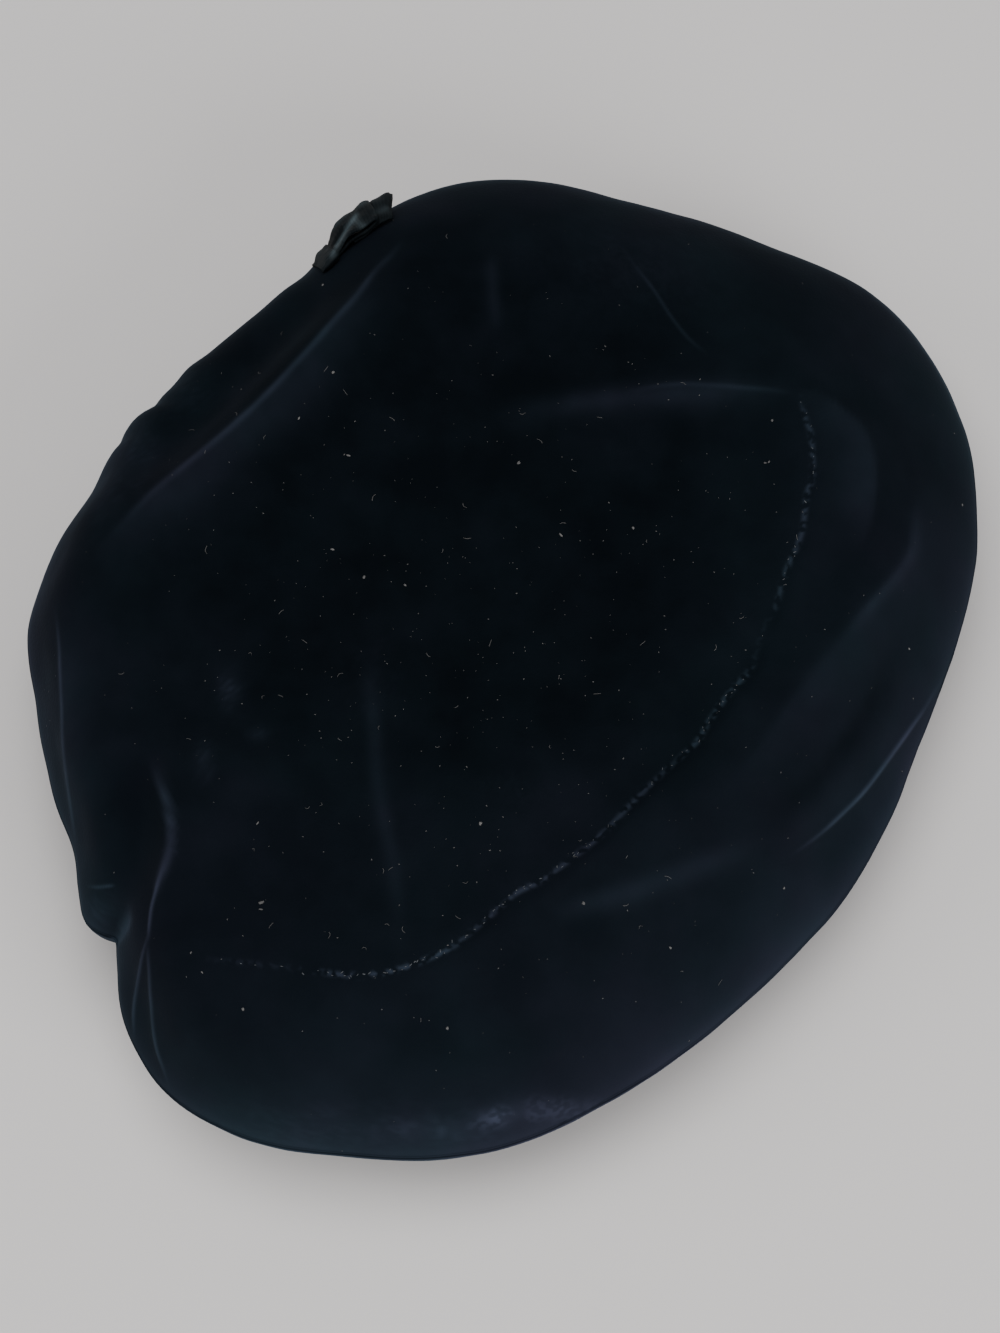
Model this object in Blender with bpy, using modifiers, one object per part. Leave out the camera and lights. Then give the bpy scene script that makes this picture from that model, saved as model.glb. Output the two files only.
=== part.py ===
"""A velvet slouch beret with a small ribbon trim, resting on its head opening.

Metres, +Z up. The origin is the middle of the hat's plan, on the surface that it rests on.
Each cloth piece is turned from a short section about +Z and then draped: one smooth
mapping gives it the plan outline, the oval head opening and the folds of the soft crown,
so that neighbouring pieces keep the small gap between them.
"""

import math
from collections import namedtuple

import bmesh
import bpy
import numpy as np

MM = 0.001

# Cloth and gaps
CLOTH = 2.0 * MM
RIBBON = 1.0 * MM
GAP = 0.4 * MM
TRIM_GAP = 0.6 * MM
MERGE = 0.05 * MM

# The turned form, before it is draped
RIM_RADIUS = 140 * MM
SHOULDER_RADIUS = 88 * MM
CROWN_HEIGHT = 59 * MM
CROWN_DISH = 3 * MM
EDGE_HEIGHT = 29 * MM
SHOULDER_FULLNESS = 1.5
UNDERSIDE_FULLNESS = 1.8
REST_WIDTH = 14 * MM

# The oval head opening, for a head of about 570 mm round
OPENING_LONG = 198 * MM
OPENING_SHORT = 164 * MM
OPENING_BEARING = 50
OPENING_RADIUS = (OPENING_LONG + OPENING_SHORT) / 4
HEADBAND_HEIGHT = 26 * MM

# Where the middle of the hat's plan lies from the middle of the turned form, in mm
PLAN_MIDDLE = (0.85, 0.6)

# How finely the pieces are turned
TURN_STEPS = 96
PLATEAU_RINGS = 10
SHOULDER_RINGS = 10
UNDERSIDE_RINGS = 6
WALL_RINGS = 7

# Between these heights of the turned form a fold grows from nothing to its full rise
FOLD_FOOT = 26 * MM
FOLD_TOP = 48 * MM
FOLD_TAPER = 0.3
FOLD_SAMPLES = 33

Outline = namedtuple("Outline", "bearing reach shoulder edge")
Fold = namedtuple("Fold", "name start middle end rise left right")
Gather = namedtuple("Gather", "name bearing depth spread")

# Seen from above: the reach of the rim and of the shoulder, in mm, at bearings in degrees,
# from the middle of the turned form.
# The edge column is how far the rim stands above its usual height there, or droops below it.
OUTLINE = [
    Outline(0, 123, 76, -4),
    Outline(14, 135, 84, -3),
    Outline(28, 146, 94, -2),
    Outline(45, 152, 102, -1),
    Outline(60, 145, 100, 1),
    Outline(75, 143, 98, 2),
    Outline(90, 146, 100, 2),
    Outline(101, 142, 102, 2),
    Outline(112, 133, 97, 2),
    Outline(125, 123, 91, 3),
    Outline(140, 121, 90, 4),
    Outline(152, 124, 94, 3),
    Outline(164, 127, 98, 1),
    Outline(180, 130, 104, -1),
    Outline(198, 129, 106, -1),
    Outline(211, 130, 108, 2),
    Outline(222, 141, 112, 2),
    Outline(233, 154, 120, -1),
    Outline(244, 155, 118, -2),
    Outline(258, 148, 104, -3),
    Outline(272, 140, 90, -4),
    Outline(288, 127, 76, -5),
    Outline(303, 119, 68, -6),
    Outline(318, 116, 66, -6),
    Outline(334, 115, 68, -5),
    Outline(346, 116, 71, -4),
]

# Ridges and valleys of the crown, as arcs through three places of the plan, in mm.
# The rise is up for a ridge and down for a valley. Left and right are its half widths,
# seen along the fold from its start.
FOLDS = [
    Fold("upper ridge", (-24, 110), (-62, 62), (-101, 14), 4, 24, 9),
    Fold("upper valley", (-45, 108), (-73, 70), (-111, 26), -7, 9, 10),
    Fold("side ridge", (-88, -34), (-84, -64), (-90, -94), 4, 16, 8),
    Fold("side valley", (-98, -40), (-95, -64), (-100, -90), -5, 7, 10),
    Fold("lower pleat", (-90, -90), (-84, -110), (-80, -132), 4, 14, 8),
    Fold("lower valley", (-101, -90), (-96, -112), (-92, -126), -4, 7, 8),
    Fold("lobe crease", (117, -20), (100, -48), (72, -70), -5, 9, 7),
    Fold("right band", (110, 20), (92, -8), (58, -46), 2, 12, 10),
    Fold("back ridge", (0, 54), (44, 64), (86, 64), 3, 20, 14),
    Fold("stitched valley", (84, 58), (68, -18), (-44, -106), -2, 10, 8),
    Fold("middle band", (-34, -28), (-31, -60), (-26, -98), -2, 14, 14),
]

# Where the rim is gathered: positive depths go inwards, in mm, spreads in degrees
GATHERS = [
    Gather("side lobe", 214, -4, 5),
    Gather("side notch", 221, 4, 4),
]

# How far apart the crown's slope is read, as a share of its section
SLOPE_STEP = 0.01

# The ribbon trim, placed on the crown: bearings in degrees, stations as shares of the
# crown's section from its middle to its edge, heights off the velvet
TRIM_STATIONS = (0.80, 0.91)
LOOP_ROOT = 115.2
LOOP_TIP = 107.5
LOOP_BOW = 4 * MM
LOOP_ROUNDNESS = 0.7
LOOP_TURN = 1.8 * MM
LOOP_ROWS = 11
TAIL_ROOT = 110.6
TAIL_SHORT_END = 105
TAIL_LONG_END = 103.5
TAIL_LIFT = 4 * MM
TAIL_CLEAR = 0.4
TAIL_BEND = 2.8
TAIL_ROWS = 9
RIBBON_COLUMNS = 5
WRAP_BEARINGS = (115.6, 113.5)
WRAP_STATIONS = (0.785, 0.925)
WRAP_CLEAR = 0.8
WRAP_COLUMNS = 3

VELVET = (0.006, 0.009, 0.014)
BAND_CLOTH = (0.010, 0.010, 0.012)
GROSGRAIN = (0.018, 0.024, 0.024)


def ease(value, start, end):
    """Rise smoothly from 0 at start to 1 at end."""
    share = np.clip((value - start) / (end - start), 0, 1)
    return share * share * (3 - 2 * share)


def around(rows, column, bearing):
    """A smooth closed curve through one column of a table, read at bearings in degrees."""
    knots = np.array([row.bearing for row in rows], float)
    values = np.array([getattr(row, column) for row in rows], float)
    knots = np.concatenate([knots[-2:] - 360, knots, knots[:3] + 360])
    values = np.concatenate([values[-2:], values, values[:3]])
    slopes = (values[2:] - values[:-2]) / (knots[2:] - knots[:-2])
    bearing = np.mod(bearing, 360)
    low = np.clip(np.searchsorted(knots, bearing, side="right") - 1, 1, len(knots) - 3)
    span = knots[low + 1] - knots[low]
    share = (bearing - knots[low]) / span
    square = share * share
    cube = square * share
    return (
        (2 * cube - 3 * square + 1) * values[low]
        + (cube - 2 * square + share) * span * slopes[low - 1]
        + (3 * square - 2 * cube) * values[low + 1]
        + (cube - square) * span * slopes[low]
    )


def opening_stretch(bearing):
    """How far the oval head opening lies from a round one, by bearing in degrees."""
    turn = np.radians(bearing - OPENING_BEARING)
    long_half = OPENING_LONG / 2
    short_half = OPENING_SHORT / 2
    reach = long_half * short_half / np.hypot(short_half * np.cos(turn), long_half * np.sin(turn))
    return reach / OPENING_RADIUS


def fold_rise(x, y):
    """The height that the folds add to the crown over places of the plan."""
    total = np.zeros_like(x)
    share = np.linspace(0, 1, FOLD_SAMPLES)
    for fold in FOLDS:
        start, middle, end = (np.array(place) * MM for place in (fold.start, fold.middle, fold.end))
        pull = 2 * middle - (start + end) / 2
        path = (
            np.outer((1 - share) ** 2, start)
            + np.outer(2 * share * (1 - share), pull)
            + np.outer(share ** 2, end)
        )
        along = np.gradient(path, axis=0)
        away_x = x[:, None] - path[:, 0]
        away_y = y[:, None] - path[:, 1]
        nearest = np.argmin(away_x ** 2 + away_y ** 2, axis=1)
        each = np.arange(len(x))
        off_x = away_x[each, nearest]
        off_y = away_y[each, nearest]
        on_left = along[nearest, 0] * off_y - along[nearest, 1] * off_x > 0
        width = np.where(on_left, fold.left, fold.right) * MM
        place = share[nearest]
        taper = ease(place, 0, FOLD_TAPER) * ease(1 - place, 0, FOLD_TAPER)
        total += fold.rise * MM * taper * np.exp(-(off_x ** 2 + off_y ** 2) / width ** 2)
    return total


def drape(points):
    """Carry points of the turned form to their places on the resting hat."""
    x, y, z = points.T
    radius = np.hypot(x, y)
    bearing = np.degrees(np.arctan2(y, x))
    reach = around(OUTLINE, "reach", bearing) * MM
    for gather in GATHERS:
        turn = (bearing - gather.bearing + 180) % 360 - 180
        reach -= gather.depth * MM * np.exp(-(turn / gather.spread) ** 2)
    shoulder = around(OUTLINE, "shoulder", bearing) * MM / SHOULDER_RADIUS
    is_crown = ease(z, HEADBAND_HEIGHT, FOLD_TOP)
    inner = opening_stretch(bearing) * (1 - is_crown) + shoulder * is_crown
    outer = reach / RIM_RADIUS
    share = ease(radius, SHOULDER_RADIUS, RIM_RADIUS)
    scale = inner * (1 - share) + outer * share
    x = x * scale
    y = y * scale
    edge = around(OUTLINE, "edge", bearing) * MM * share * ease(z, 0, EDGE_HEIGHT)
    z = z + edge + fold_rise(x, y) * ease(z, FOLD_FOOT, FOLD_TOP)
    return np.column_stack([x - PLAN_MIDDLE[0] * MM, y - PLAN_MIDDLE[1] * MM, z])


def crown_height(radius):
    """Height of the turned crown's outer side over a radius."""
    if radius <= SHOULDER_RADIUS:
        return CROWN_HEIGHT - CROWN_DISH * (1 - (radius / SHOULDER_RADIUS) ** 2)
    share = (radius - SHOULDER_RADIUS) / (RIM_RADIUS - SHOULDER_RADIUS)
    fall = (1 - share ** SHOULDER_FULLNESS) ** (1 / SHOULDER_FULLNESS)
    return EDGE_HEIGHT + (CROWN_HEIGHT - EDGE_HEIGHT) * fall


def crown_section():
    """The crown's outer side from its middle down to the edge seam, as (radius, height)."""
    section = []
    for ring in range(PLATEAU_RINGS):
        radius = SHOULDER_RADIUS * ring / PLATEAU_RINGS
        section.append((radius, crown_height(radius)))
    for ring in range(SHOULDER_RINGS):
        turn = math.pi / 2 * ring / SHOULDER_RINGS
        radius = SHOULDER_RADIUS + (RIM_RADIUS - SHOULDER_RADIUS) * math.sin(turn)
        section.append((radius, crown_height(radius)))
    section.append((RIM_RADIUS, EDGE_HEIGHT + GAP / 2))
    return section


def underside_section():
    """The underside's outer side from the edge seam in to the head opening."""
    opening = OPENING_RADIUS + CLOTH + GAP
    rest_edge = opening + REST_WIDTH
    section = [(RIM_RADIUS, EDGE_HEIGHT - GAP / 2)]
    for ring in range(1, UNDERSIDE_RINGS):
        turn = math.pi / 2 * ring / UNDERSIDE_RINGS
        share = math.cos(turn)
        radius = rest_edge + (RIM_RADIUS - rest_edge) * share
        lift = 1 - (1 - share ** UNDERSIDE_FULLNESS) ** (1 / UNDERSIDE_FULLNESS)
        section.append((radius, EDGE_HEIGHT * lift))
    section.append((rest_edge, 0))
    section.append(((rest_edge + opening) / 2, 0))
    section.append((opening, 0))
    return section


def inside_of(section, start_away, end_away):
    """The section's other side, one cloth thickness in, walked back from its end.

    The two away directions are those of the cut edges, from the outer side inwards.
    """
    inside = []
    last = len(section) - 1
    for index, (radius, height) in enumerate(section):
        if index == 0:
            away = start_away
        elif index == last:
            away = end_away
        else:
            run = section[index + 1][0] - section[index - 1][0]
            drop = section[index + 1][1] - section[index - 1][1]
            length = math.hypot(run, drop)
            away = (drop / length, -run / length)
        inside.append((radius + CLOTH * away[0], height + CLOTH * away[1]))
    return inside[::-1]


def thinned(section, rings):
    """The same line with fewer points, its two ends kept."""
    last = len(section) - 1
    picks = sorted({round(last * ring / rings) for ring in range(rings + 1)})
    return [section[pick] for pick in picks]


def material(name, colour, roughness):
    """A plain cloth material."""
    cloth = bpy.data.materials.new(name)
    cloth.use_nodes = True
    shader = cloth.node_tree.nodes["Principled BSDF"]
    shader.inputs["Base Color"].default_value = (*colour, 1)
    shader.inputs["Roughness"].default_value = roughness
    shader.inputs["Metallic"].default_value = 0
    return cloth


def add_object(name, mesh, cloth, collection):
    """Put a mesh in the hat's collection as a smooth shaded piece."""
    piece = bpy.data.objects.new(name, mesh)
    mesh.materials.append(cloth)
    mesh.shade_smooth()
    collection.objects.link(piece)
    return piece


def turned_piece(name, section, closed, cloth, collection):
    """Turn a section about +Z, then drape the form that it makes."""
    profile = bmesh.new()
    corners = [profile.verts.new((radius, 0, height)) for radius, height in section]
    for first, second in zip(corners, corners[1:]):
        profile.edges.new((first, second))
    if closed:
        profile.edges.new((corners[-1], corners[0]))
    mesh = bpy.data.meshes.new(name + "_section")
    profile.to_mesh(mesh)
    profile.free()
    turned = bpy.data.objects.new(name + "_section", mesh)
    collection.objects.link(turned)
    screw = turned.modifiers.new("Turn", "SCREW")
    screw.axis = "Z"
    screw.angle = math.tau
    screw.steps = TURN_STEPS
    screw.render_steps = TURN_STEPS
    screw.use_merge_vertices = True
    screw.merge_threshold = MERGE
    seen = turned.evaluated_get(bpy.context.evaluated_depsgraph_get())
    form = bpy.data.meshes.new_from_object(seen)
    bpy.data.objects.remove(turned)
    form.name = name
    points = np.empty(len(form.vertices) * 3)
    form.vertices.foreach_get("co", points)
    form.vertices.foreach_set("co", drape(points.reshape(-1, 3)).ravel())
    form.update()
    return add_object(name, form, cloth, collection)


def on_crown(bearing, station, lift):
    """A place on the turned crown: its bearing, its share of the section, and its lift."""
    section = np.array(crown_section())
    steps = np.hypot(*np.diff(section, axis=0).T)
    lengths = np.concatenate([[0], np.cumsum(steps)]) / steps.sum()
    before, here, after = (
        np.array([np.interp(share, lengths, column) for column in section.T])
        for share in (station - SLOPE_STEP, station, station + SLOPE_STEP)
    )
    run, drop = (after - before) / math.dist(after, before)
    radius = here[0] - lift * drop
    height = here[1] + lift * run
    turn = math.radians(bearing)
    return radius * math.cos(turn), radius * math.sin(turn), height


def ribbon_piece(name, lines, cloth, collection):
    """A ribbon of even thickness through rows of places on the turned crown."""
    rows = len(lines)
    columns = len(lines[0])
    strip = bmesh.new()
    bmesh.ops.create_grid(strip, x_segments=columns - 1, y_segments=rows - 1, size=1)
    corners = sorted(strip.verts, key=lambda corner: (round(corner.co.y, 4), corner.co.x))
    places = np.array([on_crown(*place) for line in lines for place in line])
    for corner, place in zip(corners, drape(places)):
        corner.co = place
    mesh = bpy.data.meshes.new(name)
    strip.to_mesh(mesh)
    strip.free()
    piece = add_object(name, mesh, cloth, collection)
    wall = piece.modifiers.new("Ribbon", "SOLIDIFY")
    wall.thickness = RIBBON
    wall.offset = 0
    wall.use_even_offset = True
    return piece


def across(edges, count):
    """Places from one edge of a ribbon to the other."""
    return np.linspace(edges[0], edges[1], count)


def loop_lines():
    """The ribbon loop: from its root over the velvet and the tail, round, and back in a bow."""
    low = TRIM_GAP + RIBBON / 2
    next_ply = low + RIBBON + GAP
    wrap_edge = WRAP_BEARINGS[1] - WRAP_CLEAR
    under = []
    over = []
    for bearing in across((LOOP_ROOT, LOOP_TIP), LOOP_ROWS):
        free = ease(wrap_edge - bearing, 0, wrap_edge - TAIL_ROOT - WRAP_CLEAR)
        under.append((bearing, low + (next_ply - low) * free))
        share = max(0, (wrap_edge - bearing) / (wrap_edge - LOOP_TIP))
        bow = LOOP_BOW * math.sin(math.pi * share) ** LOOP_ROUNDNESS
        over.append((bearing, next_ply + LOOP_TURN * ease(share, 0, 0.5) + bow))
    return [
        [(bearing, station, lift) for station in across(TRIM_STATIONS, RIBBON_COLUMNS)]
        for bearing, lift in under + over[::-1]
    ]


def tail_lines():
    """The ribbon's cut end: under the loop's tip it lies on the velvet, then it stands off."""
    lines = []
    for row in range(TAIL_ROWS):
        line = []
        for column, station in enumerate(across(TRIM_STATIONS, RIBBON_COLUMNS)):
            slant = column / (RIBBON_COLUMNS - 1)
            end = TAIL_SHORT_END + (TAIL_LONG_END - TAIL_SHORT_END) * slant
            bearing = TAIL_ROOT + (end - TAIL_ROOT) * row / (TAIL_ROWS - 1)
            past_loop = LOOP_TIP - TAIL_CLEAR - bearing
            lift = TRIM_GAP + RIBBON / 2 + TAIL_LIFT * ease(past_loop, 0, TAIL_BEND)
            line.append((bearing, station, lift))
        lines.append(line)
    return lines


def wrap_lines():
    """The turn of ribbon over the loop's root, with its two feet on the velvet."""
    top = 2 * (TRIM_GAP + RIBBON) + GAP + RIBBON / 2
    near, far = WRAP_STATIONS
    path = [(near, TRIM_GAP)]
    path += [(station, top) for station in across(WRAP_STATIONS, RIBBON_COLUMNS + 1)]
    path += [(far, TRIM_GAP)]
    return [
        [(bearing, station, lift) for bearing in across(WRAP_BEARINGS, WRAP_COLUMNS)]
        for station, lift in path
    ]


def build():
    """Make the hat's six pieces in one collection."""
    for stray in list(bpy.data.objects):
        bpy.data.objects.remove(stray)
    collection = bpy.data.collections.new("slouch_beret")
    bpy.context.scene.collection.children.link(collection)
    velvet = material("black silk velvet", VELVET, 0.9)
    band_cloth = material("black twill tape", BAND_CLOTH, 0.8)
    grosgrain = material("dark grosgrain ribbon", GROSGRAIN, 0.55)

    outer = crown_section()
    inner = thinned(inside_of(outer, (0, -1), (-1, 0)), WALL_RINGS)
    turned_piece("crown", outer + inner, False, velvet, collection)

    outer = underside_section()
    inner = thinned(inside_of(outer, (-1, 0), (0, 1)), WALL_RINGS)
    turned_piece("underside", outer + inner, True, velvet, collection)

    foot = GAP / 2
    band = [
        (OPENING_RADIUS + CLOTH, HEADBAND_HEIGHT),
        (OPENING_RADIUS + CLOTH, foot),
        (OPENING_RADIUS, foot),
        (OPENING_RADIUS, HEADBAND_HEIGHT),
    ]
    turned_piece("headband", band, True, band_cloth, collection)

    ribbon_piece("trim_loop", loop_lines(), grosgrain, collection)
    ribbon_piece("trim_tail", tail_lines(), grosgrain, collection)
    ribbon_piece("trim_wrap", wrap_lines(), grosgrain, collection)


build()
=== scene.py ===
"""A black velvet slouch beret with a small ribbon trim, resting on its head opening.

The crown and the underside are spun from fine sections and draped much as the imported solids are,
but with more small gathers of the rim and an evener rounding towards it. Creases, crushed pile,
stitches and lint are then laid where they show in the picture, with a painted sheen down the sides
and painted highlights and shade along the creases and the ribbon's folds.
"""

import math
import random
from collections import namedtuple

import bmesh
import bpy
import numpy as np
from mathutils import Matrix, Vector, noise
from mathutils.bvhtree import BVHTree


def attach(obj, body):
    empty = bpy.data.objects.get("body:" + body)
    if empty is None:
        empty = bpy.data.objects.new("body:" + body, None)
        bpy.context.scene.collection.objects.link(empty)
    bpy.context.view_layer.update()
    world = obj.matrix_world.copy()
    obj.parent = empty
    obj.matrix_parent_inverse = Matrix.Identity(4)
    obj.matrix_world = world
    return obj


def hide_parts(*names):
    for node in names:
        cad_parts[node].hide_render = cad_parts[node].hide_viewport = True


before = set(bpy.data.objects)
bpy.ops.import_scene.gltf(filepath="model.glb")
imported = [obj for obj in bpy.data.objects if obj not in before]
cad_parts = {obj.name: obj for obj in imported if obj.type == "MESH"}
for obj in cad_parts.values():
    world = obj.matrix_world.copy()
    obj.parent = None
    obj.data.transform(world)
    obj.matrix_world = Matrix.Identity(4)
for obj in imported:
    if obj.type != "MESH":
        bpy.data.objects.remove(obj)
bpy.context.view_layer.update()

MM = 0.001

# ---- The turned form, before it is draped, in metres ----

# The velvet's thickness, and the gap that stands for a seam
CLOTH = 2.0 * MM
GAP = 0.4 * MM
RIM_RADIUS = 140 * MM
SHOULDER_RADIUS = 88 * MM
CROWN_HEIGHT = 59 * MM
CROWN_DISH = 3 * MM
EDGE_HEIGHT = 29 * MM
SHOULDER_FULLNESS = 1.5
UNDERSIDE_FULLNESS = 1.8
REST_WIDTH = 14 * MM
OPENING_LONG = 198 * MM
OPENING_SHORT = 164 * MM
OPENING_BEARING = 50
OPENING_RADIUS = (OPENING_LONG + OPENING_SHORT) / 4
HEADBAND_HEIGHT = 26 * MM
HEADBAND_THICKNESS = 1.5 * MM
HEADBAND_FOOT = 0.5 * MM
HEADBAND_TOP = HEADBAND_HEIGHT - 0.8 * MM
HEADBAND_WAVE = 0.35 * MM
HEM_TURNS = (2.5, 1.9, 1.2, 0.6)
PLAN_MIDDLE = (0.85 * MM, 0.6 * MM)

# The large folds fade in between these heights, and over this share of their length at each end
FOLD_FOOT = 26 * MM
FOLD_TOP = 48 * MM
FOLD_TAPER = 0.3

# Over this height above the headband the plan changes from the opening's oval to the crown's
CROWN_FOOT = 7 * MM

# How finely the pieces are turned
TURN_STEPS = 480
PLATEAU_RINGS = 62
SHOULDER_RINGS = 58
UNDERSIDE_RINGS = 56
REST_RINGS = 8
LINING_RINGS = 24
HEADBAND_RINGS = 12

# Points this near the axis are one point
AXIS_REACH = 0.01 * MM

# Round fine marks the mesh is split this often: within a reach in mm of the stitches and of each
# crease with a narrower glow than this, and in each bruise that is paler than this
FINE_CUTS = 2
FINE_REACH = 1.3
FINE_GLOW = 1
SHARP_BRUISE = 0.07
SHARP_BRUISE_REACH = 0.8

# The edges roll in to the seam between crown and underside: (inwards, away from the seam) in mm,
# and the panels end a little before the roll
SEAM_ROLL = [(0.0, 1.0), (0.1, 0.7), (0.3, 0.42), (0.6, 0.25), (1.2, 0.2)]
ROLL_START = (SEAM_ROLL[0][1] + 0.2) * MM

# Near the seam the painted sheen is weaker, most so within the first distance and not past the
# second
SEAM_REACH = (0.8 * MM, 3 * MM)
SEAM_SHEEN_CUT = 0.25

Outline = namedtuple("Outline", "bearing reach shoulder edge")
Fold = namedtuple("Fold", "name start middle end rise left right")
Gather = namedtuple("Gather", "name bearing depth spread")
Crease = namedtuple("Crease", "name rise left right point pale glow spread places")
Bruise = namedtuple("Bruise", "place reach pale")
FoldLight = namedtuple("FoldLight", "reach pale places")
Blotch = namedtuple("Blotch", "size seed")

# Reach of the rim and of the shoulder in mm, and how far the rim stands up, by bearing
OUTLINE = [
    Outline(0, 123, 76, -4),
    Outline(14, 135, 84, -3),
    Outline(28, 146, 94, -2),
    Outline(45, 152, 102, -1),
    Outline(60, 145, 100, 1),
    Outline(75, 143, 98, 2),
    Outline(90, 146, 100, 2),
    Outline(101, 142, 102, 2),
    Outline(112, 133, 97, 2),
    Outline(125, 123, 91, 3),
    Outline(140, 121, 90, 4),
    Outline(152, 124, 94, 3),
    Outline(164, 127, 98, 1),
    Outline(180, 130, 104, -1),
    Outline(198, 129, 106, -1),
    Outline(211, 130, 108, 2),
    Outline(222, 141, 112, 2),
    Outline(233, 154, 120, -1),
    Outline(244, 155, 118, -2),
    Outline(258, 148, 104, -3),
    Outline(272, 140, 90, -4),
    Outline(288, 127, 76, -5),
    Outline(303, 119, 68, -6),
    Outline(318, 116, 66, -6),
    Outline(334, 115, 68, -5),
    Outline(346, 116, 71, -4),
]

# The large ridges and valleys of the crown: arcs through three places of the plan, in mm
FOLDS = [
    Fold("upper ridge", (-24, 110), (-62, 62), (-101, 14), 4, 24, 9),
    Fold("upper valley", (-45, 108), (-73, 70), (-111, 26), -7, 9, 10),
    Fold("side ridge", (-88, -34), (-84, -64), (-90, -94), 4, 16, 8),
    Fold("side valley", (-98, -40), (-95, -64), (-100, -90), -5, 7, 10),
    Fold("lower pleat", (-90, -90), (-84, -110), (-80, -132), 4, 14, 8),
    Fold("lower valley", (-101, -90), (-96, -112), (-92, -126), -4, 7, 8),
    Fold("lobe crease", (117, -20), (100, -48), (72, -70), -5, 9, 7),
    Fold("right band", (110, 20), (92, -8), (58, -46), 2, 12, 10),
    Fold("back ridge", (0, 54), (44, 64), (86, 64), 3, 20, 14),
    Fold("stitched valley", (84, 58), (68, -18), (-44, -106), -2, 10, 8),
    Fold("middle band", (-34, -28), (-31, -60), (-26, -98), -2, 14, 14),
]

# Gathers of the rim, which give its small corners and flats: depths go inwards in mm, so a bump
# has a negative one, and spreads are in degrees
GATHERS = [
    Gather("side lobe", 214, -3.4, 5),
    Gather("side notch", 221.6, 4, 4),
    Gather("sharp notch", 220.4, 1.6, 1.3),
    Gather("lobe tip", 216.8, -1.2, 2),
    Gather("foot flat", 231, 0.9, 3.5),
    Gather("right side", 6, -0.8, 9),
    Gather("trim foot", 117, 1.6, 3.2),
    Gather("lower flat", 252, 0.8, 6),
    Gather("front flat", 277, 0.8, 7),
    Gather("upper bump", 137.9, -1.0, 2.4),
    Gather("upper dip", 145.2, 0.9, 1.3),
    Gather("second bump", 148.4, -0.8, 1.9),
    Gather("second dip", 151.7, 0.6, 1.0),
    Gather("long dip", 160, 2.6, 5.5),
    Gather("left corner", 178.5, -1.3, 5),
    Gather("left flat", 188, 0.9, 4),
    Gather("lobe side", 203, -1.1, 6),
]

# The ribbon trim, placed on the crown: bearings in degrees, stations as shares of the crown's
# section from its middle to its edge, heights off the velvet in mm. The section's slope is taken
# a step of stations to each side. The first ply's middle has its height, and the next lies a step
# above it.
TRIM_STATIONS = (0.80, 0.91)
STATION_STEP = 0.01
TRIM_GAP = 0.6
RIBBON_THICKNESS = 0.8
RIBBON_WIDTH = 16.0
RIBBON_COLUMNS = 15
FIRST_PLY = TRIM_GAP + 0.5
PLY_STEP = 0.9

# The free end of the trim stands off the velvet from this bearing on, fully so after this turn,
# with this share of its lift on its inner side
FREE_LIFT = 2.6
FREE_BEARING = 109.2
FREE_TURN = 2.2
FREE_INNER = 0.2

# The loop: its turn parts the two plies, and its upper one bows up between the wrap and the tip.
# The bow has a share of its height on its inner side, and a power and a fall for its rounding near
# the wrap and near the tip.
LOOP_ROWS = 34
LOOP_ROOT = 114.6
LOOP_TIP = 106.9
LOOP_TURN = 1.8
LOOP_BOW = 3.9
LOOP_NEAR = 0.1
LOOP_RISE = (2.2, 1)
LOOP_FALL = (3.4, 0.7)

# Where the loop is crushed: share of the way out from the wrap and half width there, height of the
# ridge at its inner side and depth of the hollow in its middle
CRUSH_PLACE = 0.3
CRUSH_REACH = 0.22
CRUSH_RIDGE = 1.1
CRUSH_HOLLOW = 2.3

# The tail: its slanting end stands off from just before the loop's tip on, and curls down again
# over its last degrees, more on its outer side. The loop clears it a little before its root.
TAIL_ROWS = 30
TAIL_ROOT = 110.6
TAIL_SHORT_END = 104.8
TAIL_LONG_END = 103.7
TAIL_CLEAR = 0.8
TAIL_START = 0.4
TAIL_TURN = 0.9
TAIL_LIFT = 2.5
CURL_TURN = 0.6
CURL_INNER = 0.5
CURL_OUTER = 1.6

# The wrap goes over both plies, and over its first degrees it is pressed down to a share of its
# height and drawn in
WRAP_ROWS = 24
WRAP_COLUMNS = 13
WRAP_BEARINGS = (116.2, 113.5)
WRAP_STATIONS = (0.785, 0.925)
WRAP_EDGE = 113.3
WRAP_PLY_STEP = 0.95
WRAP_ROUNDING = 0.7
WRAP_PRESSED = 0.3
WRAP_PRESSED_TURN = 1.4
WRAP_DRAWN_IN = 0.3

# Crumples of the ribbon: their size in mm across and along it, and small ones, as many in a metre
CRUMPLE_SIZE = (5, 6)
CRUMPLE_SEED = 11
SMALL_CRUMPLES = 600

# Painted highlights along the ribbon's folds and its edge, and painted shade where the folds are
# hollow: half width in mm, paleness (below 0 for the painted shade), picture places. They fade over
# a share of their length at each end.
FOLD_LIGHT_ENDS = (0.15, 0.15)
RIBBON_FOLD_LIGHT = [
    FoldLight(0.6, 0.6, [(360, 212), (350, 226), (341, 241), (329, 262)]),
    FoldLight(0.7, 0.24, [(316, 264), (325, 240), (337, 224), (352, 210), (369, 201), (390, 194)]),
    FoldLight(1.0, 0.3, [(352, 218), (360, 225), (368, 230)]),
    FoldLight(0.7, -0.3, [(330, 252), (336, 238), (343, 227)]),
    FoldLight(0.8, 0.2, [(372, 214), (381, 212), (389, 208)]),
]

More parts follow.
